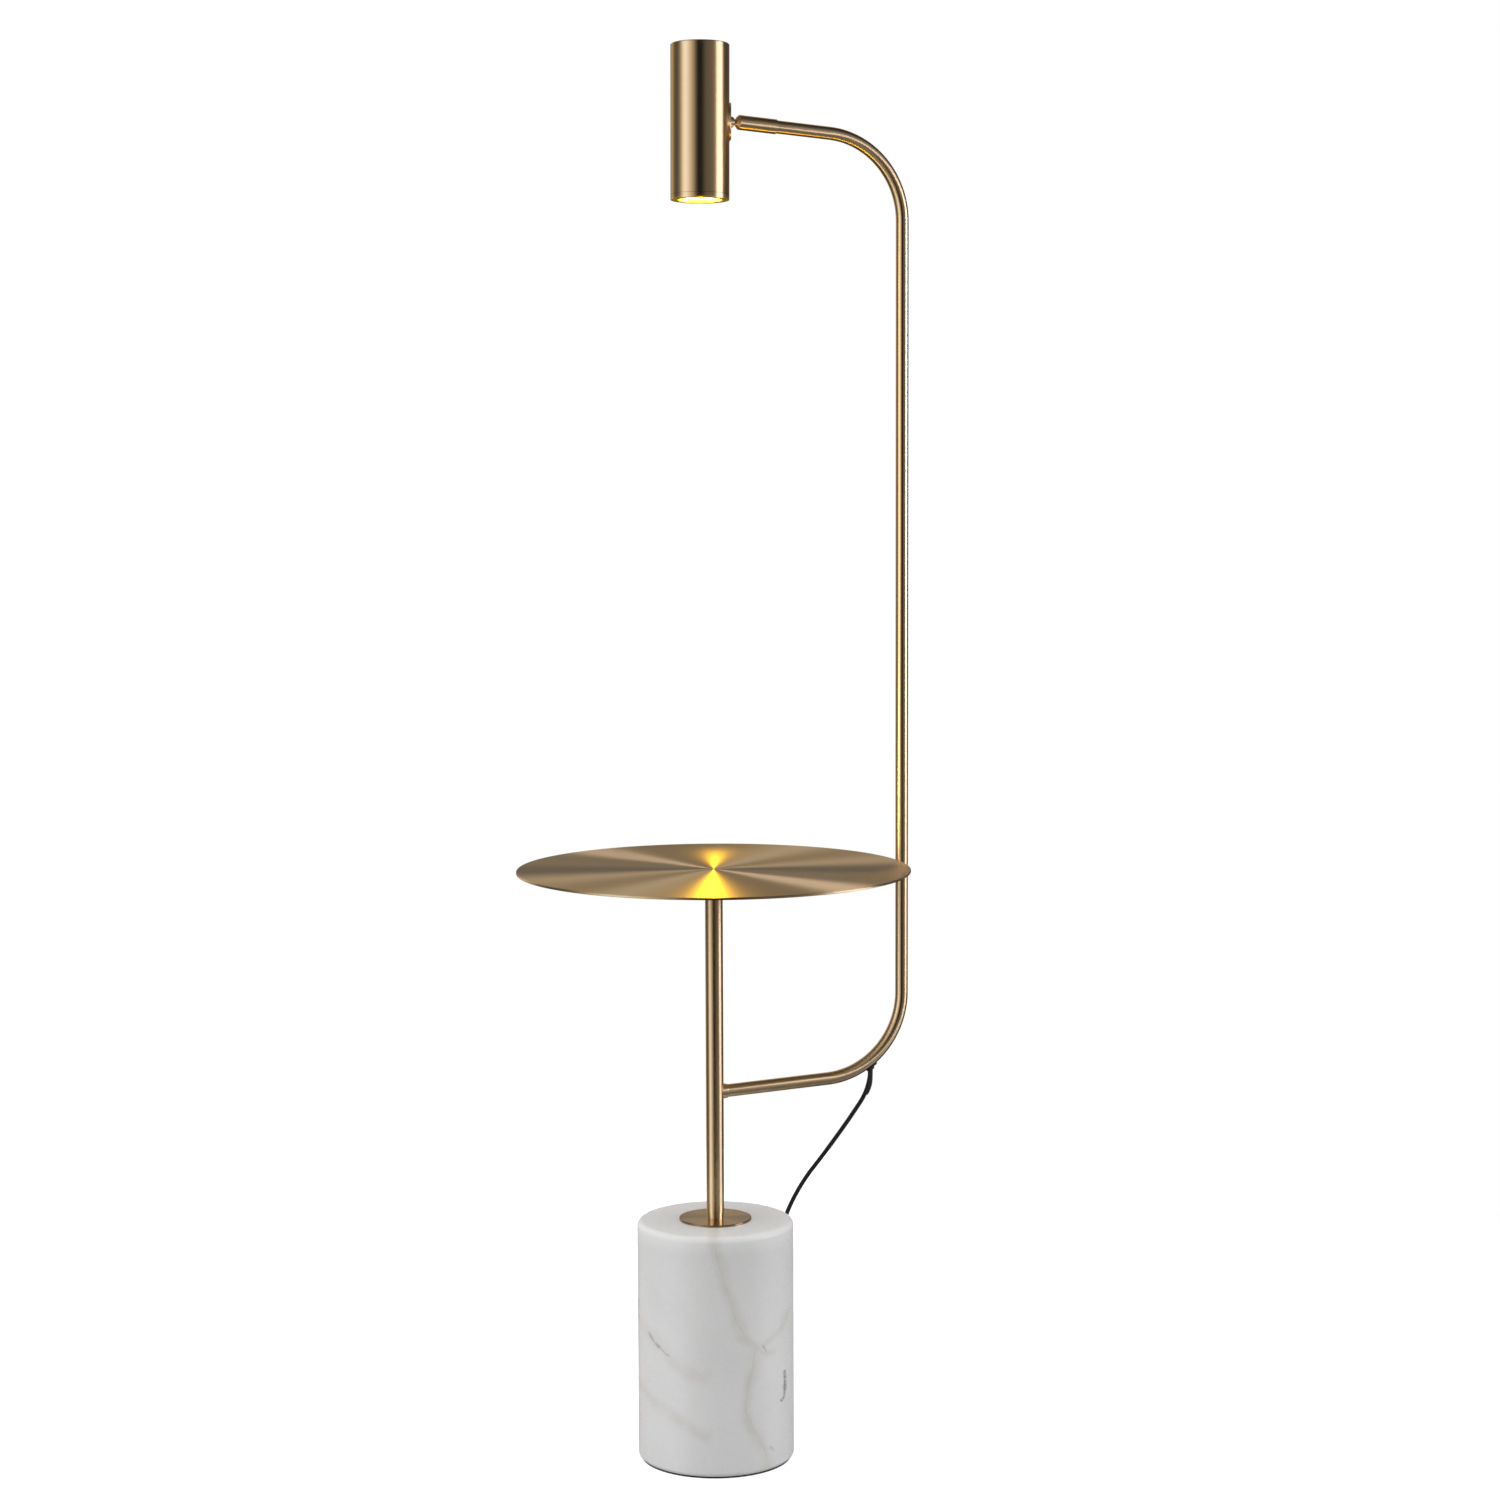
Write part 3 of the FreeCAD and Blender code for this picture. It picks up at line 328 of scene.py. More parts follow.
FLOOR_RADIUS = 1.4
FLOOR_SIDES = 128
FLOOR_SHADES = (0.24, 0.26)
FLOOR_GLOW_UNSEEN = 0.30     # what the floor adds to the light on the lamp
FLOOR_GLOW_SEEN = 0.83       # what the camera sees, so that the floor runs into the white


def build_floor():
    ring = []
    for corner in range(FLOOR_SIDES):
        angle = 2 * math.pi * corner / FLOOR_SIDES
        ring.append((FLOOR_RADIUS * math.cos(angle), FLOOR_RADIUS * math.sin(angle), 0.0))
    mesh = bpy.data.meshes.new("floor")
    mesh.from_pydata(ring, [], [tuple(range(FLOOR_SIDES))])
    floor = bpy.data.objects.new("floor", mesh)
    scene.collection.objects.link(floor)
    material, net = new_material("pale_floor")
    grain = net.noise(net.place(), 60.0, detail=4.0)
    shade = net.span(grain, 0.0, 1.0, *FLOOR_SHADES)
    seen = net.node("ShaderNodeLightPath").outputs["Is Camera Ray"]
    glow = net.span(seen, 0.0, 1.0, FLOOR_GLOW_UNSEEN, FLOOR_GLOW_SEEN)
    net.shader(Base_Color=net.join(shade, shade, shade), Roughness=0.9, Specular_IOR_Level=0.0,
               Emission_Color=grey(1.0), Emission_Strength=glow)
    mesh.materials.append(material)
    floor.visible_glossy = False


# ---- brass -----------------------------------------------------------------------------------
BRASS = (0.92, 0.71, 0.44)
BRASS_DEEP = (0.89, 0.675, 0.405)
BRASS_EDGE = (0.80, 0.62, 0.42)        # the tint of glancing reflections
PALE_EDGE = (1.0, 1.0, 1.0)
SEAM_SHADE = (0.16, 0.11, 0.06)
ROSETTE_RADIUS = 37.0
SEAM_WIDTHS = (0.1, 0.35)    # half widths of a seam's dark core and of all of it
SEAM_STRENGTH = 0.6
RIM_SHADE_WIDTHS = (0.9, 0.5)      # how far inside a plate's edge its dark rim of painted shade begins and is full
RIM_SHADE_STRENGTH = 0.75
BEZEL_SEAM = -72.8           # along the head's axis from its centre
# Painted light on the bezel: an emitted yellow glow stands in for the lamp lighting its inner
# wall and the metal round the opening.
PAINTED_GLOW_WALL = (22.1, 22.6)    # radii between which the painted glow on the lit inner wall fades out
PAINTED_SPILL_END = -75.0          # along the head's axis, where the painted light round the opening ends
PAINTED_SPILL_STRENGTH = 0.16
PAINTED_GLOW_YELLOW = (1.0, 0.66, 0.0)
ARM_ROUGHNESS = 0.40         # where the bent tube runs level
LEG_ROUGHNESS = 0.30         # where it stands upright
FINE_LINES = 3400.0          # per metre, the brushing's finest lines
BROAD_LINES = 620.0
LINE_DEPTH = 0.00001
CLOUD_SCALE = 9.0
UNEVENNESS = 0.02            # how far the roughness drifts to either side
WAVER_ROUND = 0.8            # how the lines waver round the axis
WAVER_ACROSS = 120.0         # and from side to side of a bent tube


def brushed(name, origin, axis, roughness=0.355, lines=0.05, edge=BRASS_EDGE, bent=None,
            seam=None, rim=None, lit=False):
    """Brass brushed round an axis, or round a bent tube.

    bent gives the bend's centre, its radius, and the ways its arm and its leg run. seam is the
    place of a dark line along the axis, rim a plate's radius, inside which a dark rim of painted
    shade runs, and lit adds painted light: a yellow glow on the inner wall and round the opening
    that stands in for the lamp's light falling there.
    """
    material, net = new_material(name)
    place = net.place()
    skin = None
    if bent:
        centre, radius, arm, leg = bent
        side = net.vec("SUBTRACT", place, centre * MM)
        arm_run, leg_run = [net.num("MAXIMUM", net.vec("DOT_PRODUCT", side, way), 0.0)
                            for way in (arm, leg)]
        side = net.vec("SUBTRACT", side, net.vec("SCALE", tuple(arm), scale=arm_run))
        side = net.vec("SUBTRACT", side, net.vec("SCALE", tuple(leg), scale=leg_run))
        tangent = net.vec("NORMALIZE", net.vec("CROSS_PRODUCT", (0.0, 1.0, 0.0), side))
        turned = net.num("ARCTAN2", net.vec("DOT_PRODUCT", side, tuple(-arm)),
                         net.vec("DOT_PRODUCT", side, tuple(-leg)))
        lengthwise = net.num("MULTIPLY_ADD", turned, radius * MM,
                             net.num("SUBTRACT", leg_run, arm_run))
        swing = net.vec("MULTIPLY", place, (0.0, WAVER_ACROSS, 0.0))
        spoke = net.vec("NORMALIZE", net.vec("MULTIPLY", side, (1.0, 0.0, 1.0)))
        skin = net.vec("NORMALIZE", net.vec("SUBTRACT", side,
                                            net.vec("SCALE", spoke, scale=radius * MM)))
        level = net.num("ABSOLUTE", net.part(tangent, 2))
        roughness = net.span(level, 0.2, 1.0, ARM_ROUGHNESS, roughness)
    else:
        offset = net.vec("SUBTRACT", place, origin * MM)
        normal = net.node("ShaderNodeNewGeometry").outputs["Normal"]
        along = net.vec("DOT_PRODUCT", offset, axis)
        flat = net.vec("SUBTRACT", offset, net.vec("SCALE", tuple(axis), scale=along))
        outward = net.vec("NORMALIZE", flat)
        circle = net.vec("CROSS_PRODUCT", tuple(axis), outward)
        turn_node = net.node("ShaderNodeVectorTransform", vector_type="VECTOR",
                             convert_from="OBJECT", convert_to="WORLD")
        net.put(turn_node.inputs[0], circle)
        tangent = net.vec("CROSS_PRODUCT", turn_node.outputs[0], normal)
        from_axis = net.vec("LENGTH", flat)
        lengthwise = net.num("ADD", from_axis, along)
        swing = net.vec("SCALE", outward, scale=WAVER_ROUND)

    def line_noise(count, detail):
        run = net.vec("SCALE", grey(1.0), scale=net.num("MULTIPLY", lengthwise, count))
        return net.noise(net.vec("ADD", swing, run), 1.0, detail=detail)

    fine = line_noise(FINE_LINES, 2.0)
    broad = line_noise(BROAD_LINES, 3.0)
    cloud = net.noise(place, CLOUD_SCALE, detail=3.0)
    streaks = net.num("MULTIPLY_ADD", broad, 0.6, net.num("MULTIPLY", cloud, 0.5))
    colour = net.mix(net.span(streaks, 0.35, 0.75), BRASS_DEEP, BRASS)
    if seam is not None:
        from_seam = net.num("ABSOLUTE", net.num("SUBTRACT", along, seam * MM))
        core, soft = SEAM_WIDTHS
        line = net.span(from_seam, core * MM, soft * MM, SEAM_STRENGTH, 0.0)
        colour = net.mix(line, colour, SEAM_SHADE)
    # Painted shade: a dark rim just inside a plate's edge.
    if rim is not None:
        begins, full = RIM_SHADE_WIDTHS
        rim_shade = net.span(from_axis, (rim - begins) * MM, (rim - full) * MM, 0.0, RIM_SHADE_STRENGTH)
        colour = net.mix(rim_shade, colour, SEAM_SHADE)
    glow = {}
    # Painted light: the bezel itself glows, though it is no lamp.
    if lit:
        full, none = PAINTED_GLOW_WALL
        wall = net.span(from_axis, full * MM, none * MM, 1.0, 0.0)
        painted_spill = net.span(along, -HEAD_FOOT * MM, PAINTED_SPILL_END * MM, PAINTED_SPILL_STRENGTH, 0.0,
                         smooth=True)
        glow = {"Emission_Color": PAINTED_GLOW_YELLOW, "Emission_Strength": net.num("ADD", wall, painted_spill)}
    drift = net.span(net.num("ADD", fine, net.num("MULTIPLY", cloud, 0.6)),
                     0.4, 1.2, -UNEVENNESS, UNEVENNESS)
    net.shader(Base_Color=colour, Metallic=1.0, Roughness=net.num("ADD", drift, roughness),
               Specular_Tint=edge, Anisotropic=1.0, Tangent=tangent,
               Normal=net.bump(fine, lines, LINE_DEPTH, skin), **glow)
    return material


def plain_metal(name, base, other, roughness, scale=900.0):
    """Metal with a fine grain and a slow drift between two colours."""
    material, net = new_material(name)
    place = net.place()
    grain = net.noise(place, scale, detail=3.0)
    cloud = net.noise(place, 40.0, detail=2.0)
    net.shader(Base_Color=net.mix(cloud, base, other), Metallic=1.0,
               Roughness=net.span(grain, 0.3, 0.7, roughness - 0.05, roughness + 0.06),
               Normal=net.bump(grain, 0.08, 0.00005))
    return material


# ---- marble ----------------------------------------------------------------------------------
STONE = (0.80, 0.796, 0.797)
STONE_GREY = (0.70, 0.70, 0.705)
# Pale crystals in the stone, and the painted light towards the top rim.
STONE_PALE_AND_PAINTED_LIGHT = (0.92, 0.917, 0.916)
VEIN_BEIGE = (0.50, 0.45, 0.34)
VEIN_DARK = (0.16, 0.145, 0.115)
PAINTED_TOP_LIGHT_BAND = (0.226, 0.247)    # heights between which painted light makes the stone lighter towards its top rim
FRONT_DEPTH = 0.012          # over which the fine marks end at the drum's two sides
WIDE_SOFTNESS = 2.2
FINE_SOFTNESS = 1.6
WIDE_WANDER = (30.0, 0.014)  # how the veins stray: noise scale, and how far in metres
FINE_WANDER = (110.0, 0.0035)
# Each vein: points (across the drum, height) in millimetres, half width, strength. The wide
# ones carry through to the back.
WIDE_VEINS = [
    ([(-1, 254), (0, 240), (4, 222), (9, 203), (15, 184), (20, 165), (30, 146), (44, 130)],
     4.6, 0.28),
    ([(44, 130), (58, 136), (68, 144), (73, 160)], 2.6, 0.22),
    ([(40, 128), (37, 108), (32, 88), (30, 70), (38, 50), (46, 33), (52, 16), (54, 0)],
     4.4, 0.30),
    ([(-84, 150), (-66, 140), (-47, 123), (-30, 110), (-12, 104)], 5.5, 0.20),
    ([(-78, 80), (-58, 71), (-36, 58), (-10, 45)], 5.0, 0.22),
    ([(44, 130), (50, 122), (58, 124)], 2.0, 0.25),
]
# Short dark marks, on the half that the photo shows.
FINE_VEINS = [
    ([(-67, 141), (-63, 135), (-57, 130)], 1.7, 0.50),
    ([(-57, 130), (-47, 123)], 1.1, 0.36),
    ([(70.0, 99), (70.4, 86), (69.6, 73), (67.0, 70.5)], 1.5, 0.85),
    ([(48, 133), (51, 127)], 0.9, 0.40),
    ([(56, 26), (59, 21)], 1.4, 0.30),
    ([(-79, 168), (-79, 150)], 1.0, 0.45),
    ([(0, 240), (4, 222), (9, 203), (15, 184), (20, 165), (30, 146), (44, 130)], 0.5, 0.13),
    ([(40, 128), (37, 108), (32, 88), (30, 70), (38, 50), (46, 33), (52, 16)], 0.5, 0.13),
]


def vein_field(net, sheet, veins, soft):
    """How strongly the nearest vein marks each point of an upright sheet through the drum."""
    field = None
    for points, half_width, strength in veins:
        nearest = None
        for start, end in zip(points, points[1:]):
            begin = Vector((*start, 0.0)) * MM
            run = Vector((*end, 0.0)) * MM - begin
            from_start = net.vec("SUBTRACT", sheet, begin)
            share = net.num("DIVIDE", net.vec("DOT_PRODUCT", from_start, run),
                            run.length_squared, clamp=True)
            along = net.vec("SCALE", tuple(run), scale=share)
            gap = net.vec("LENGTH", net.vec("SUBTRACT", from_start, along))
            nearest = gap if nearest is None else net.num("MINIMUM", nearest, gap)
        mark = net.span(nearest, 0.0, half_width * soft * MM, strength, 0.0, smooth=True)
        field = mark if field is None else net.num("MAXIMUM", field, mark)
    return field


def marble_material():
    """Pale stone with clouds and crystals, wide soft veins, fine marks on the front half, and
    painted light towards the top.
    """
    material, net = new_material("marble_stone")
    place = net.place()
    height = net.part(place, 2)

    def wandering(scale, reach):
        drift = net.vec("SUBTRACT", net.noise(place, scale, detail=4.0, colour=True), grey(0.5))
        moved = net.vec("ADD", place, net.vec("SCALE", drift, scale=reach))
        across = net.vec("DOT_PRODUCT", moved, (level_right.x, level_right.y, 0.0))
        return net.join(across, net.part(moved, 2), 0.0)

    wide = vein_field(net, wandering(*WIDE_WANDER), WIDE_VEINS, WIDE_SOFTNESS)
    fine = vein_field(net, wandering(*FINE_WANDER), FINE_VEINS, FINE_SOFTNESS)
    depth = net.vec("DOT_PRODUCT", place, TO_CAMERA)
    fine = net.num("MULTIPLY", fine, net.span(depth, -FRONT_DEPTH, FRONT_DEPTH, smooth=True))
    wide = net.num("MULTIPLY", wide,
                   net.span(net.noise(place, 60.0, detail=3.0), 0.28, 0.60, 0.45, 1.0))
    fine = net.num("MULTIPLY", fine,
                   net.span(net.noise(place, 300.0, detail=3.0), 0.35, 0.55, 0.35, 1.0))
    clouds = net.noise(place, 16.0, detail=5.0, roughness=0.6, distortion=0.4)
    crystals = net.noise(place, 900.0, detail=2.0)
    grains = net.noise(place, 420.0, detail=1.0)
    colour = net.mix(net.span(clouds, 0.45, 0.80, 0.0, 0.45), STONE, STONE_GREY)
    # Painted light: the stone grows lighter towards the top rim, a painted highlight and glow
    # from the lit top face.
    colour = net.mix(net.span(height, *PAINTED_TOP_LIGHT_BAND, 0.0, 0.75, smooth=True), colour, STONE_PALE_AND_PAINTED_LIGHT)
    colour = net.mix(net.span(crystals, 0.45, 0.75, 0.0, 0.22), colour, STONE_PALE_AND_PAINTED_LIGHT)
    colour = net.mix(net.span(grains, 0.55, 0.80, 0.0, 0.20), colour, STONE_GREY)
    colour = net.mix(wide, colour, VEIN_BEIGE)
    colour = net.mix(fine, colour, VEIN_DARK)
    net.shader(Base_Color=colour, Roughness=net.span(crystals, 0.2, 0.8, 0.24, 0.36),
               Specular_IOR_Level=0.5, Normal=net.bump(crystals, 0.05, 0.00004))
    return material


# ---- other materials -------------------------------------------------------------------------
TEXTILE_LIGHT = (0.022, 0.022, 0.024)
BRAID_PITCH = 0.0011                   # metres of cord to one crossing of its threads
BRAID_TURNS = 9.0                      # crossings round the cord


def near_black(level):
    """Black with a trace of blue."""
    return (level, level, level + 0.001)


def grained(name, base, other, roughness, scale=1500.0, depth=0.00005, strength=0.25):
    """A matt or satin stuff with a fine grain and a slow drift between two colours."""
    material, net = new_material(name)
    place = net.place()
    grain = net.noise(place, scale, detail=3.0)
    cloud = net.noise(place, 55.0, detail=3.0)
    net.shader(Base_Color=net.mix(cloud, base, other),
               Roughness=net.span(grain, 0.25, 0.75, roughness - 0.06, roughness + 0.06),
               Normal=net.bump(grain, strength, depth))
    return material


def braided(name, base, other, uv=True):
    """Textile braid of two families of threads that cross, laid by UV or by place."""
    material, net = new_material(name)
    where = net.node("ShaderNodeTexCoord")
    if uv:
        run = net.part(where.outputs["UV"], 0)
        around = net.part(where.outputs["UV"], 1)
    else:
        run = net.vec("DOT_PRODUCT", where.outputs["Object"], (1.0, 1.0, 1.0))
        around = net.vec("DOT_PRODUCT", where.outputs["Object"], (40.0, -40.0, 60.0))
    rise = net.num("DIVIDE", run, BRAID_PITCH)
    one = net.num("MULTIPLY_ADD", around, BRAID_TURNS, rise)
    two = net.num("SUBTRACT", net.num("MULTIPLY", around, BRAID_TURNS), rise)
    waves = [net.num("ABSOLUTE", net.num("SINE", net.num("MULTIPLY", value, math.pi)))
             for value in (one, two)]
    weave = net.num("MAXIMUM", *waves)
    fuzz = net.noise(where.outputs["Object"], 4000.0, detail=2.0)
    height = net.num("MULTIPLY_ADD", fuzz, 0.25, weave)
    net.shader(Base_Color=net.mix(weave, base, other),
               Roughness=net.span(fuzz, 0.2, 0.8, 0.72, 0.9),
               Sheen_Weight=0.15, Sheen_Roughness=0.5, Normal=net.bump(height, 0.7, 0.00022))
    return material


LENS_WHITE = (1.0, 0.86, 0.16)         # at the glow's strength it shows white
LENS_YELLOW = (1.0, 0.78, 0.003)
LENS_EDGE = (0.0205, 0.0214)           # radii between which the white turns yellow
LENS_GLOW = 12.0
LENSLETS = 260.0                       # per metre


def lens_material():
    """Bright lamp lens of small lenslets, white with a yellow edge."""
    material, net = new_material("lit_lens")
    place = net.vec("SUBTRACT", net.place(), HEAD_CENTRE * MM)
    cells = net.node("ShaderNodeTexVoronoi", feature="F1")
    net.put(cells.inputs["Vector"], place)
    cells.inputs["Scale"].default_value = LENSLETS
    dome = net.span(cells.outputs["Distance"], 0.0, 0.6, 1.0, 0.9)
    along = net.vec("DOT_PRODUCT", place, HEAD_AXIS)
    flat = net.vec("SUBTRACT", place, net.vec("SCALE", tuple(HEAD_AXIS), scale=along))
    from_axis = net.vec("LENGTH", flat)
    tone = net.mix(net.span(from_axis, *LENS_EDGE, smooth=True), LENS_WHITE, LENS_YELLOW)
    net.shader(Base_Color=(0.9, 0.9, 0.88), Roughness=0.15, Normal=net.bump(dome, 0.5, 0.0006),
               Emission_Color=net.vec("SCALE", tone, scale=dome), Emission_Strength=LENS_GLOW)
    return material


def dress(material, *names):
    """Give nodes a material in place of their own."""
    for name in names:
        slots = nodes[name].data.materials
        slots.clear()
        slots.append(material)


def build_materials():
    """The dress of every node that the scene shows as the CAD made it."""
    dress(brushed("brass_column", ORIGIN, UP), "foot_ring", "column_tube", "table_flange")
    dress(brushed("brass_rosette", ORIGIN, UP, roughness=0.22, edge=PALE_EDGE,
                  rim=ROSETTE_RADIUS), "rosette")
    dress(brushed("brass_table", ORIGIN, UP, roughness=0.40, lines=0.10, edge=PALE_EDGE),
          "table_disc")
    dress(brushed("brass_head", HEAD_CENTRE, HEAD_AXIS, seam=BEZEL_SEAM),
          "head_shell", "head_cap")
    dress(brushed("brass_bezel", HEAD_CENTRE, HEAD_AXIS, seam=BEZEL_SEAM, lit=True),
          "bezel_ring")
    dress(brushed("brass_saddle", BALL, Vector((1.0, 0.0, 0.0))), "saddle_plate", "ball_stud")
    dress(brushed("brass_upper_arm", BALL, UPPER_AXIS, roughness=ARM_ROUGHNESS),
          "swivel_nose", "rear_collar")
    dress(brushed("brass_lower_arm", LOWER_ARM_START, LOWER_AXIS), "arm_collar", "arm_spigot")
    dress(plain_metal("brass_bracket", BRASS, BRASS_DEEP, 0.32), "rim_bracket")
    dress(plain_metal("brass_machined", (0.83, 0.62, 0.34), (0.78, 0.57, 0.30), 0.24),
          "tee_block", "ball_cup", "pressure_ring", "swivel_bush", "swivel_spindle")
    dress(marble_material(), "marble_base")
    dress(plain_metal("zinc_plate", (0.62, 0.63, 0.64), (0.52, 0.53, 0.55), 0.38),
          "clamp_plate", "tie_rod_nut", "tie_rod", "column_foot_plug", "column_top_plug",
          "flange_screw", "disc_studs", "stud_nuts", "tube_coupler", "disc_springs", "stop_pin",
          "head_nut", "holder_bracket", "holder_screws")
    dress(plain_metal("aluminium_cast", (0.72, 0.72, 0.73), (0.64, 0.65, 0.66), 0.45),
          "inner_pad")
    dress(grained("rubber_black", near_black(0.020), near_black(0.032), 0.72, scale=2200.0),
          "base_pad", "cord_grommet")
    dress(braided("textile_lead", near_black(0.006), TEXTILE_LIGHT, uv=False),
          "stem_lead", "head_lead")
    dress(grained("plastic_black", near_black(0.012), near_black(0.020), 0.42, scale=1800.0),
          "switch_base", "switch_cover", "plug_body")
    dress(grained("plastic_button", near_black(0.016), near_black(0.026), 0.34, scale=1200.0),
          "switch_button")
    dress(grained("fibre_brown", (0.22, 0.13, 0.07), (0.30, 0.18, 0.10), 0.75),
          "friction_washer", "switch_core")
    dress(grained("lamp_body_white", (0.78, 0.77, 0.74), (0.84, 0.83, 0.80), 0.5), "lamp_body")
    dress(grained("ceramic_white", (0.80, 0.78, 0.72), (0.86, 0.84, 0.79), 0.3), "lamp_holder")
    dress(plain_metal("nickel_pins", (0.74, 0.72, 0.67), (0.66, 0.64, 0.60), 0.22),
          "lamp_pins", "plug_pins")
    dress(lens_material(), "lamp_lens")


# ---- cord ------------------------------------------------------------------------------------
CORD_DIAMETER = 0.0045
CORD_EXIT = Vector((171.5, 0.0, 392.97))
HANGING = [
    CORD_EXIT, CORD_EXIT + Vector((0, 0, -20.0)), CORD_EXIT + Vector((-18.5, 8.0, -52.0)),
    (130.5, 22, 303), (108.5, 38.5, 267), (93.5, 55.5, 222), (91, 57.5, 180), (87.5, 55.5, 137),
    (85, 55.5, 95), (81.5, 56, 60), (81.5, 58, 37), (84, 67, 20.5), (89, 81, 11), (94.8, 95.9, 9),
]
THROUGH_SWITCH = [(104.5, 122.5, 9)]
ON_FLOOR = [
    (114.2, 149.1, 9), (119, 163, 7), (115.5, 178.5, 4.5), (104.5, 189.5, 3.2), (89, 193, 3.0),
    (56, 184.5, 3.1), (31, 176.5, 3.0), (7.5, 168.3, 3.05),
]
TO_PLUG = [
    (7, 95.2, 7.55), (20, 88.8, 6.6), (34, 83.4, 5), (48.5, 81.2, 3.6), (61.4, 83.4, 2.8),
    (72.4, 90, 2.8), (79.6, 100.4, 4.2), (81.4, 112.8, 7.6), (76.6, 124.2, 11.6),
    (66.6, 132, 15.4), (54.1, 136.6, 16.7),
]
COIL_CENTRE = (20.5, 132.0)
COIL_ENTRY = 38.6            # the radius at which the cord comes to the coil
COIL_TURNS = [33.75, 29.25, 24.75, 20.25, 20.25, 24.75, 29.25, 33.75]
COIL_LOW = 3.05
COIL_HIGH = 7.55
COIL_START = 110.0
COIL_LAST_SWEEP = 140.0
POINTS_IN_TURN = 16
POINTS_IN_STEP = 3
CURVE_INSIDE = 0.981         # the spline's radius to its control points' radius


def coil_points():
    """Two layers of turns, inward and out again, with a short step from each to the next."""
    points = []
    step = 360.0 / POINTS_IN_TURN
    radius = COIL_ENTRY * CURVE_INSIDE
    height = COIL_LOW
    for index, wanted in enumerate(COIL_TURNS):
        level = COIL_LOW if index < len(COIL_TURNS) // 2 else COIL_HIGH
        last = index == len(COIL_TURNS) - 1
        count = int(COIL_LAST_SWEEP // step) if last else POINTS_IN_TURN
        for place in range(1, count + 1):
            if place <= POINTS_IN_STEP:
                share = place / POINTS_IN_STEP
                now_radius = radius + (wanted - radius) * share
                now_height = height + (level - height) * share
            else:
                now_radius, now_height = wanted, level
            angle = math.radians(COIL_START + step * (index * POINTS_IN_TURN + place))
            reach = now_radius / CURVE_INSIDE
            points.append((COIL_CENTRE[0] + reach * math.cos(angle),
                           COIL_CENTRE[1] + reach * math.sin(angle), now_height))
        radius, height = wanted, level
    return points


def spline_line(points):
    """The smooth line that a NURBS spline makes of its control points."""
    curve = bpy.data.curves.new("cord_route", "CURVE")
    curve.dimensions = "3D"
    curve.resolution_u = 10
    spline = curve.splines.new("NURBS")
    spline.points.add(len(points) - 1)
    for point, place in zip(spline.points, points):
        point.co = (*(Vector(place) * MM), 1.0)
    spline.order_u = 3
    spline.use_endpoint_u = True
    holder = bpy.data.objects.new("cord_route", curve)
    mesh = bpy.data.meshes.new_from_object(holder)
    line = [vertex.co.copy() for vertex in mesh.vertices]
    bpy.data.meshes.remove(mesh)
    bpy.data.objects.remove(holder)
    bpy.data.curves.remove(curve)
    return line


def tube_along(name, line, radius, sides=16):
    """A closed tube mesh along a line, its UV map in metres along and turns round."""
    tangents = []
    for index in range(len(line)):
        before = line[max(index - 1, 0)]
        after = line[min(index + 1, len(line) - 1)]
        tangents.append((after - before).normalized())
    side = tangents[0].orthogonal().normalized()
    vertices, runs, run = [], [], 0.0
    for index, place in enumerate(line):
        if index:
            run += (place - line[index - 1]).length
            side = (side - tangents[index] * side.dot(tangents[index])).normalized()
        runs.append(run)
        other = tangents[index].cross(side)
        for corner in range(sides):
            angle = 2 * math.pi * corner / sides
            vertices.append(place + (side * math.cos(angle) + other * math.sin(angle)) * radius)
    faces, uvs = [], []
    for index in range(len(line) - 1):
        for corner in range(sides):
            following = (corner + 1) % sides
            faces.append((index * sides + corner, index * sides + following,
                          (index + 1) * sides + following, (index + 1) * sides + corner))
            around = (corner / sides, (corner + 1) / sides)
            uvs.extend([(runs[index], around[0]), (runs[index], around[1]),
                        (runs[index + 1], around[1]), (runs[index + 1], around[0])])
    last = (len(line) - 1) * sides
    faces.append(tuple(reversed(range(sides))))
    faces.append(tuple(range(last, last + sides)))
    uvs.extend([(0.0, corner / sides) for corner in range(sides)])
    uvs.extend([(run, corner / sides) for corner in range(sides)])
    mesh = bpy.data.meshes.new(name)
    mesh.from_pydata(vertices, [], faces)
    layer = mesh.uv_layers.new(name="UVMap")
    for loop, uv in zip(layer.data, uvs):
        loop.uv = uv
    mesh.polygons.foreach_set("use_smooth", [True] * len(mesh.polygons))
    made = bpy.data.objects.new(name, mesh)
    scene.collection.objects.link(made)
    return made


# ---- bent tube -------------------------------------------------------------------------------
TUBE_RADIUS = 6.5
TUBE_SIDES = 64
STEM_SEAM = 608.75
LOWER_TUBE_START = 6.0       # along the lower arm, inside the column
ARM_TIP = 33.0               # along the upper arm, inside its collar
BEND_STEPS = 40


def bent_line(centre, arm, arm_end, leg_end):
    """Points along a tube from its arm's end, round the bend, to its leg's end."""
    leg = UP if leg_end.z > centre.z else -UP
    toward_leg = -(arm + leg * -arm.dot(leg)).normalized()
    toward_arm = -(leg + arm * -arm.dot(leg)).normalized()
    sweep = toward_arm.angle(toward_leg)
    points = [arm_end]
    for step in range(BEND_STEPS + 1):
        share = step / BEND_STEPS
        spoke = (toward_arm * math.sin((1 - share) * sweep)
                 + toward_leg * math.sin(share * sweep)) / math.sin(sweep)
        points.append(centre + spoke * BEND_RADIUS)
    points.append(leg_end)
    return [point * MM for point in points]


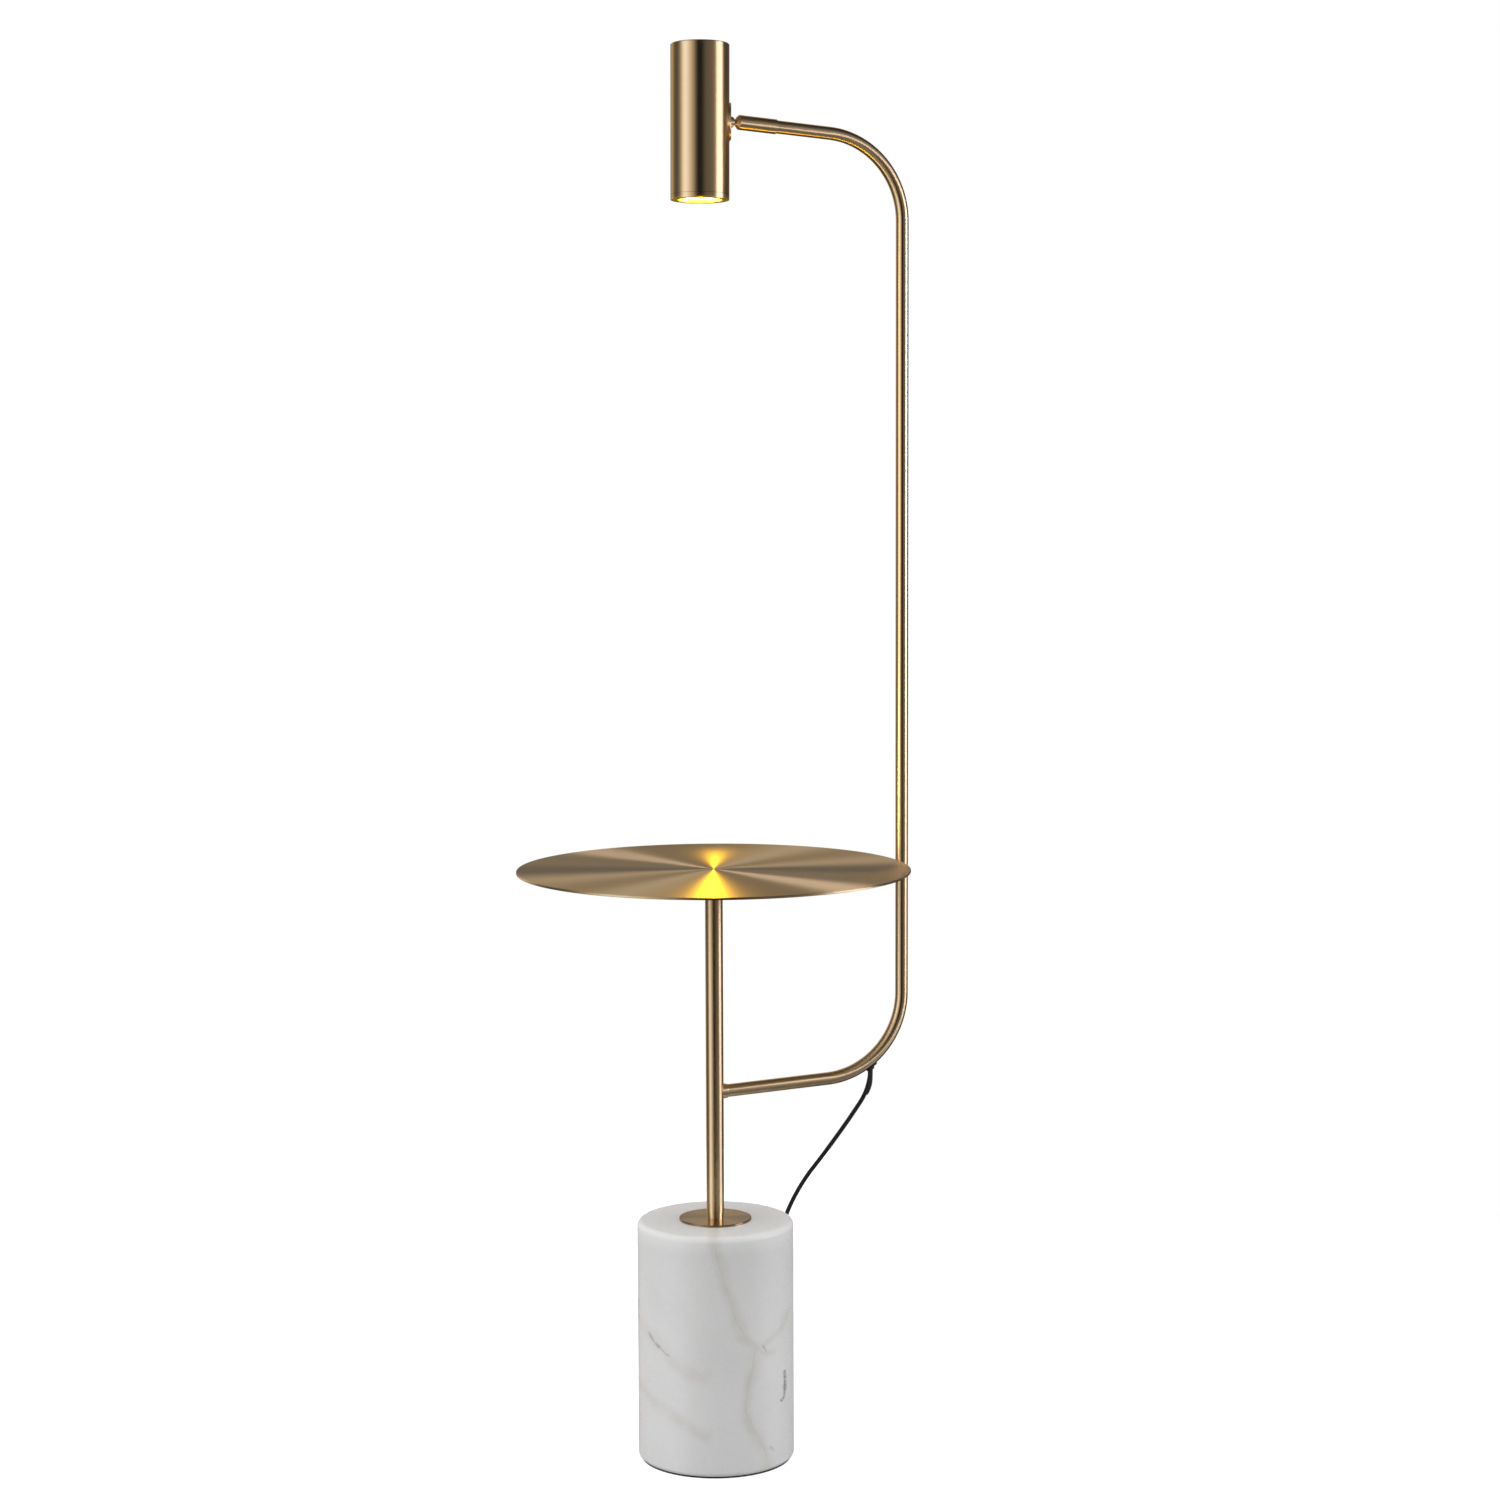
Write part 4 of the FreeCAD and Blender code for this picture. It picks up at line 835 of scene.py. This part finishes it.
def build_tubes():
    """Smooth skins for the two bent tubes, which meet at the disc's level."""
    stem = Vector((LOWER_BEND_CENTRE.x + BEND_RADIUS, 0.0, STEM_SEAM))
    lower = bent_line(LOWER_BEND_CENTRE, -LOWER_AXIS,
                      LOWER_ARM_START + LOWER_AXIS * LOWER_TUBE_START, stem)
    upper = bent_line(UPPER_BEND_CENTRE, -UPPER_AXIS, BALL + UPPER_AXIS * ARM_TIP, stem)
    tubes = (("lower_tube", lower, LOWER_BEND_CENTRE, -LOWER_AXIS, UP),
             ("upper_tube", upper, UPPER_BEND_CENTRE, -UPPER_AXIS, -UP))
    for name, line, centre, arm, leg in tubes:
        tube = tube_along(name + "_skin", line, TUBE_RADIUS * MM, TUBE_SIDES)
        brass = brushed("brass_" + name, ORIGIN, UP, roughness=LEG_ROUGHNESS, lines=0.02,
                        bent=(centre, BEND_RADIUS, arm, leg))
        tube.data.materials.append(brass)
        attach(tube, "stand")
        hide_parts(name)


TIE_DIRECTION = math.radians(190.0)
TIE_WIDTH = 6.0
TIE_THICKNESS = 0.55
TIE_INNER, TIE_OUTER = 17.5, 36.5      # from the coil's centre
TIE_LOW, TIE_HIGH = 0.65, 9.95
TIE_CORNER = 2.6
CORNER_STEPS = 6
LAP_WIDTH = TIE_WIDTH - 0.6
# The free end: places from the coil's centre, above the band, and which way is out.
LAP = [(31.0, 0.62, 0.0, 1.0), (27.0, 0.60, 0.0, 1.0), (23.0, 0.60, 0.0, 1.0),
       (19.8, 0.95, 0.1, 1.0)]


def build_tie():
    """A thin textile band round the coil's turns, its free end lapped over the top."""
    inner, outer = TIE_INNER + TIE_CORNER, TIE_OUTER - TIE_CORNER
    low, high = TIE_LOW + TIE_CORNER, TIE_HIGH - TIE_CORNER
    profile = []
    corners = ((outer, low, -90), (outer, high, 0), (inner, high, 90), (inner, low, 180))
    for x, z, start in corners:
        for step in range(CORNER_STEPS + 1):
            angle = math.radians(start + 90 * step / CORNER_STEPS)
            out_x, out_z = math.cos(angle), math.sin(angle)
            profile.append((x + TIE_CORNER * out_x, z + TIE_CORNER * out_z, out_x, out_z))
    profile.append(profile[0])
    lap = [(x, TIE_HIGH + rise, out_x, out_z) for x, rise, out_x, out_z in LAP]
    vertices, faces = [], []
    ahead = Vector((math.cos(TIE_DIRECTION), math.sin(TIE_DIRECTION), 0.0))
    sideways = Vector((-ahead.y, ahead.x, 0.0))
    centre = Vector((*COIL_CENTRE, 0.0))
    for strip, width in ((profile, TIE_WIDTH), (lap, LAP_WIDTH)):
        first = len(vertices)
        for x, z, out_x, out_z in strip:
            for lift in (0.0, TIE_THICKNESS):
                for side in (-0.5, 0.5):
                    place = (ahead * (x + out_x * lift) + UP * (z + out_z * lift)
                             + sideways * (side * width))
                    vertices.append((centre + place) * MM)
        for index in range(len(strip) - 1):
            near = first + 4 * index
            far = near + 4
            faces += [(near, near + 1, far + 1, far), (near + 2, far + 2, far + 3, near + 3),
                      (near, far, far + 2, near + 2), (near + 1, near + 3, far + 3, far + 1)]
        end = first + 4 * (len(strip) - 1)
        faces += [(first, first + 2, first + 3, first + 1), (end, end + 1, end + 3, end + 2)]
    mesh = bpy.data.meshes.new("coil_band")
    mesh.from_pydata(vertices, [], faces)
    mesh.polygons.foreach_set("use_smooth", [True] * len(mesh.polygons))
    band = bpy.data.objects.new("coil_band", mesh)
    scene.collection.objects.link(band)
    mesh.materials.append(grained("textile_band", near_black(0.010), TEXTILE_LIGHT, 0.85,
                                  scale=3200.0, depth=0.0002, strength=0.6))
    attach(band, "stand")
    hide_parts("coil_tie")
    return band


def build_cord():
    """One spline cord from the grommet through the switch and the coil to the plug."""
    route = HANGING + THROUGH_SWITCH + ON_FLOOR + coil_points() + TO_PLUG
    line = spline_line(route)
    cord = tube_along("textile_cord", line, CORD_DIAMETER / 2)
    cord.data.materials.append(braided("textile_cord", near_black(0.002), near_black(0.010)))
    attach(cord, "stand")
    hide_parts("cord_hanging", "cord_floor", "cord_tail", "cord_coil")
    band = build_tie()


# ---- lamp light ------------------------------------------------------------------------------
LAMP_COLOUR = (1.0, 0.66, 0.015)
BEAM_FORWARD = math.radians(5.0)       # how much more than the head the beam leans forward
BEAM_ANGLE = math.radians(46)
BEAM_SOURCE = 0.018
BEAM_POWER = 12.0
GLOW_PLACE = (0.0, -0.03, 0.6115)      # just above the table
GLOW_RADIUS = 0.055
GLOW_POWER = 0.8


def build_lamp():
    """The lamp's beam, and the light that the lit table throws back up at the arm."""
    light = bpy.data.lights.new("lamp_beam", "SPOT")
    light.color = LAMP_COLOUR
    light.energy = BEAM_POWER
    light.spot_size = BEAM_ANGLE
    light.spot_blend = 1.0
    light.shadow_soft_size = BEAM_SOURCE
    place = Matrix.Translation((HEAD_CENTRE - HEAD_AXIS * HEAD_FOOT) * MM)
    lean = Matrix.Rotation(-BEAM_FORWARD, 3, "X") @ HEAD_AXIS
    beam = place_light(light, place @ lean.to_track_quat("Z", "Y").to_matrix().to_4x4())
    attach(beam, "head")

    light = bpy.data.lights.new("table_glow", "AREA")
    light.shape = "DISK"
    light.size = 2 * GLOW_RADIUS
    light.color = LAMP_COLOUR
    light.energy = GLOW_POWER
    glow = place_light(light, Matrix.Translation(GLOW_PLACE) @ Matrix.Rotation(math.pi, 4, "X"))
    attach(glow, "head")


build_world()
build_soft_box()
build_floor()
build_materials()
build_tubes()
build_cord()
build_lamp()
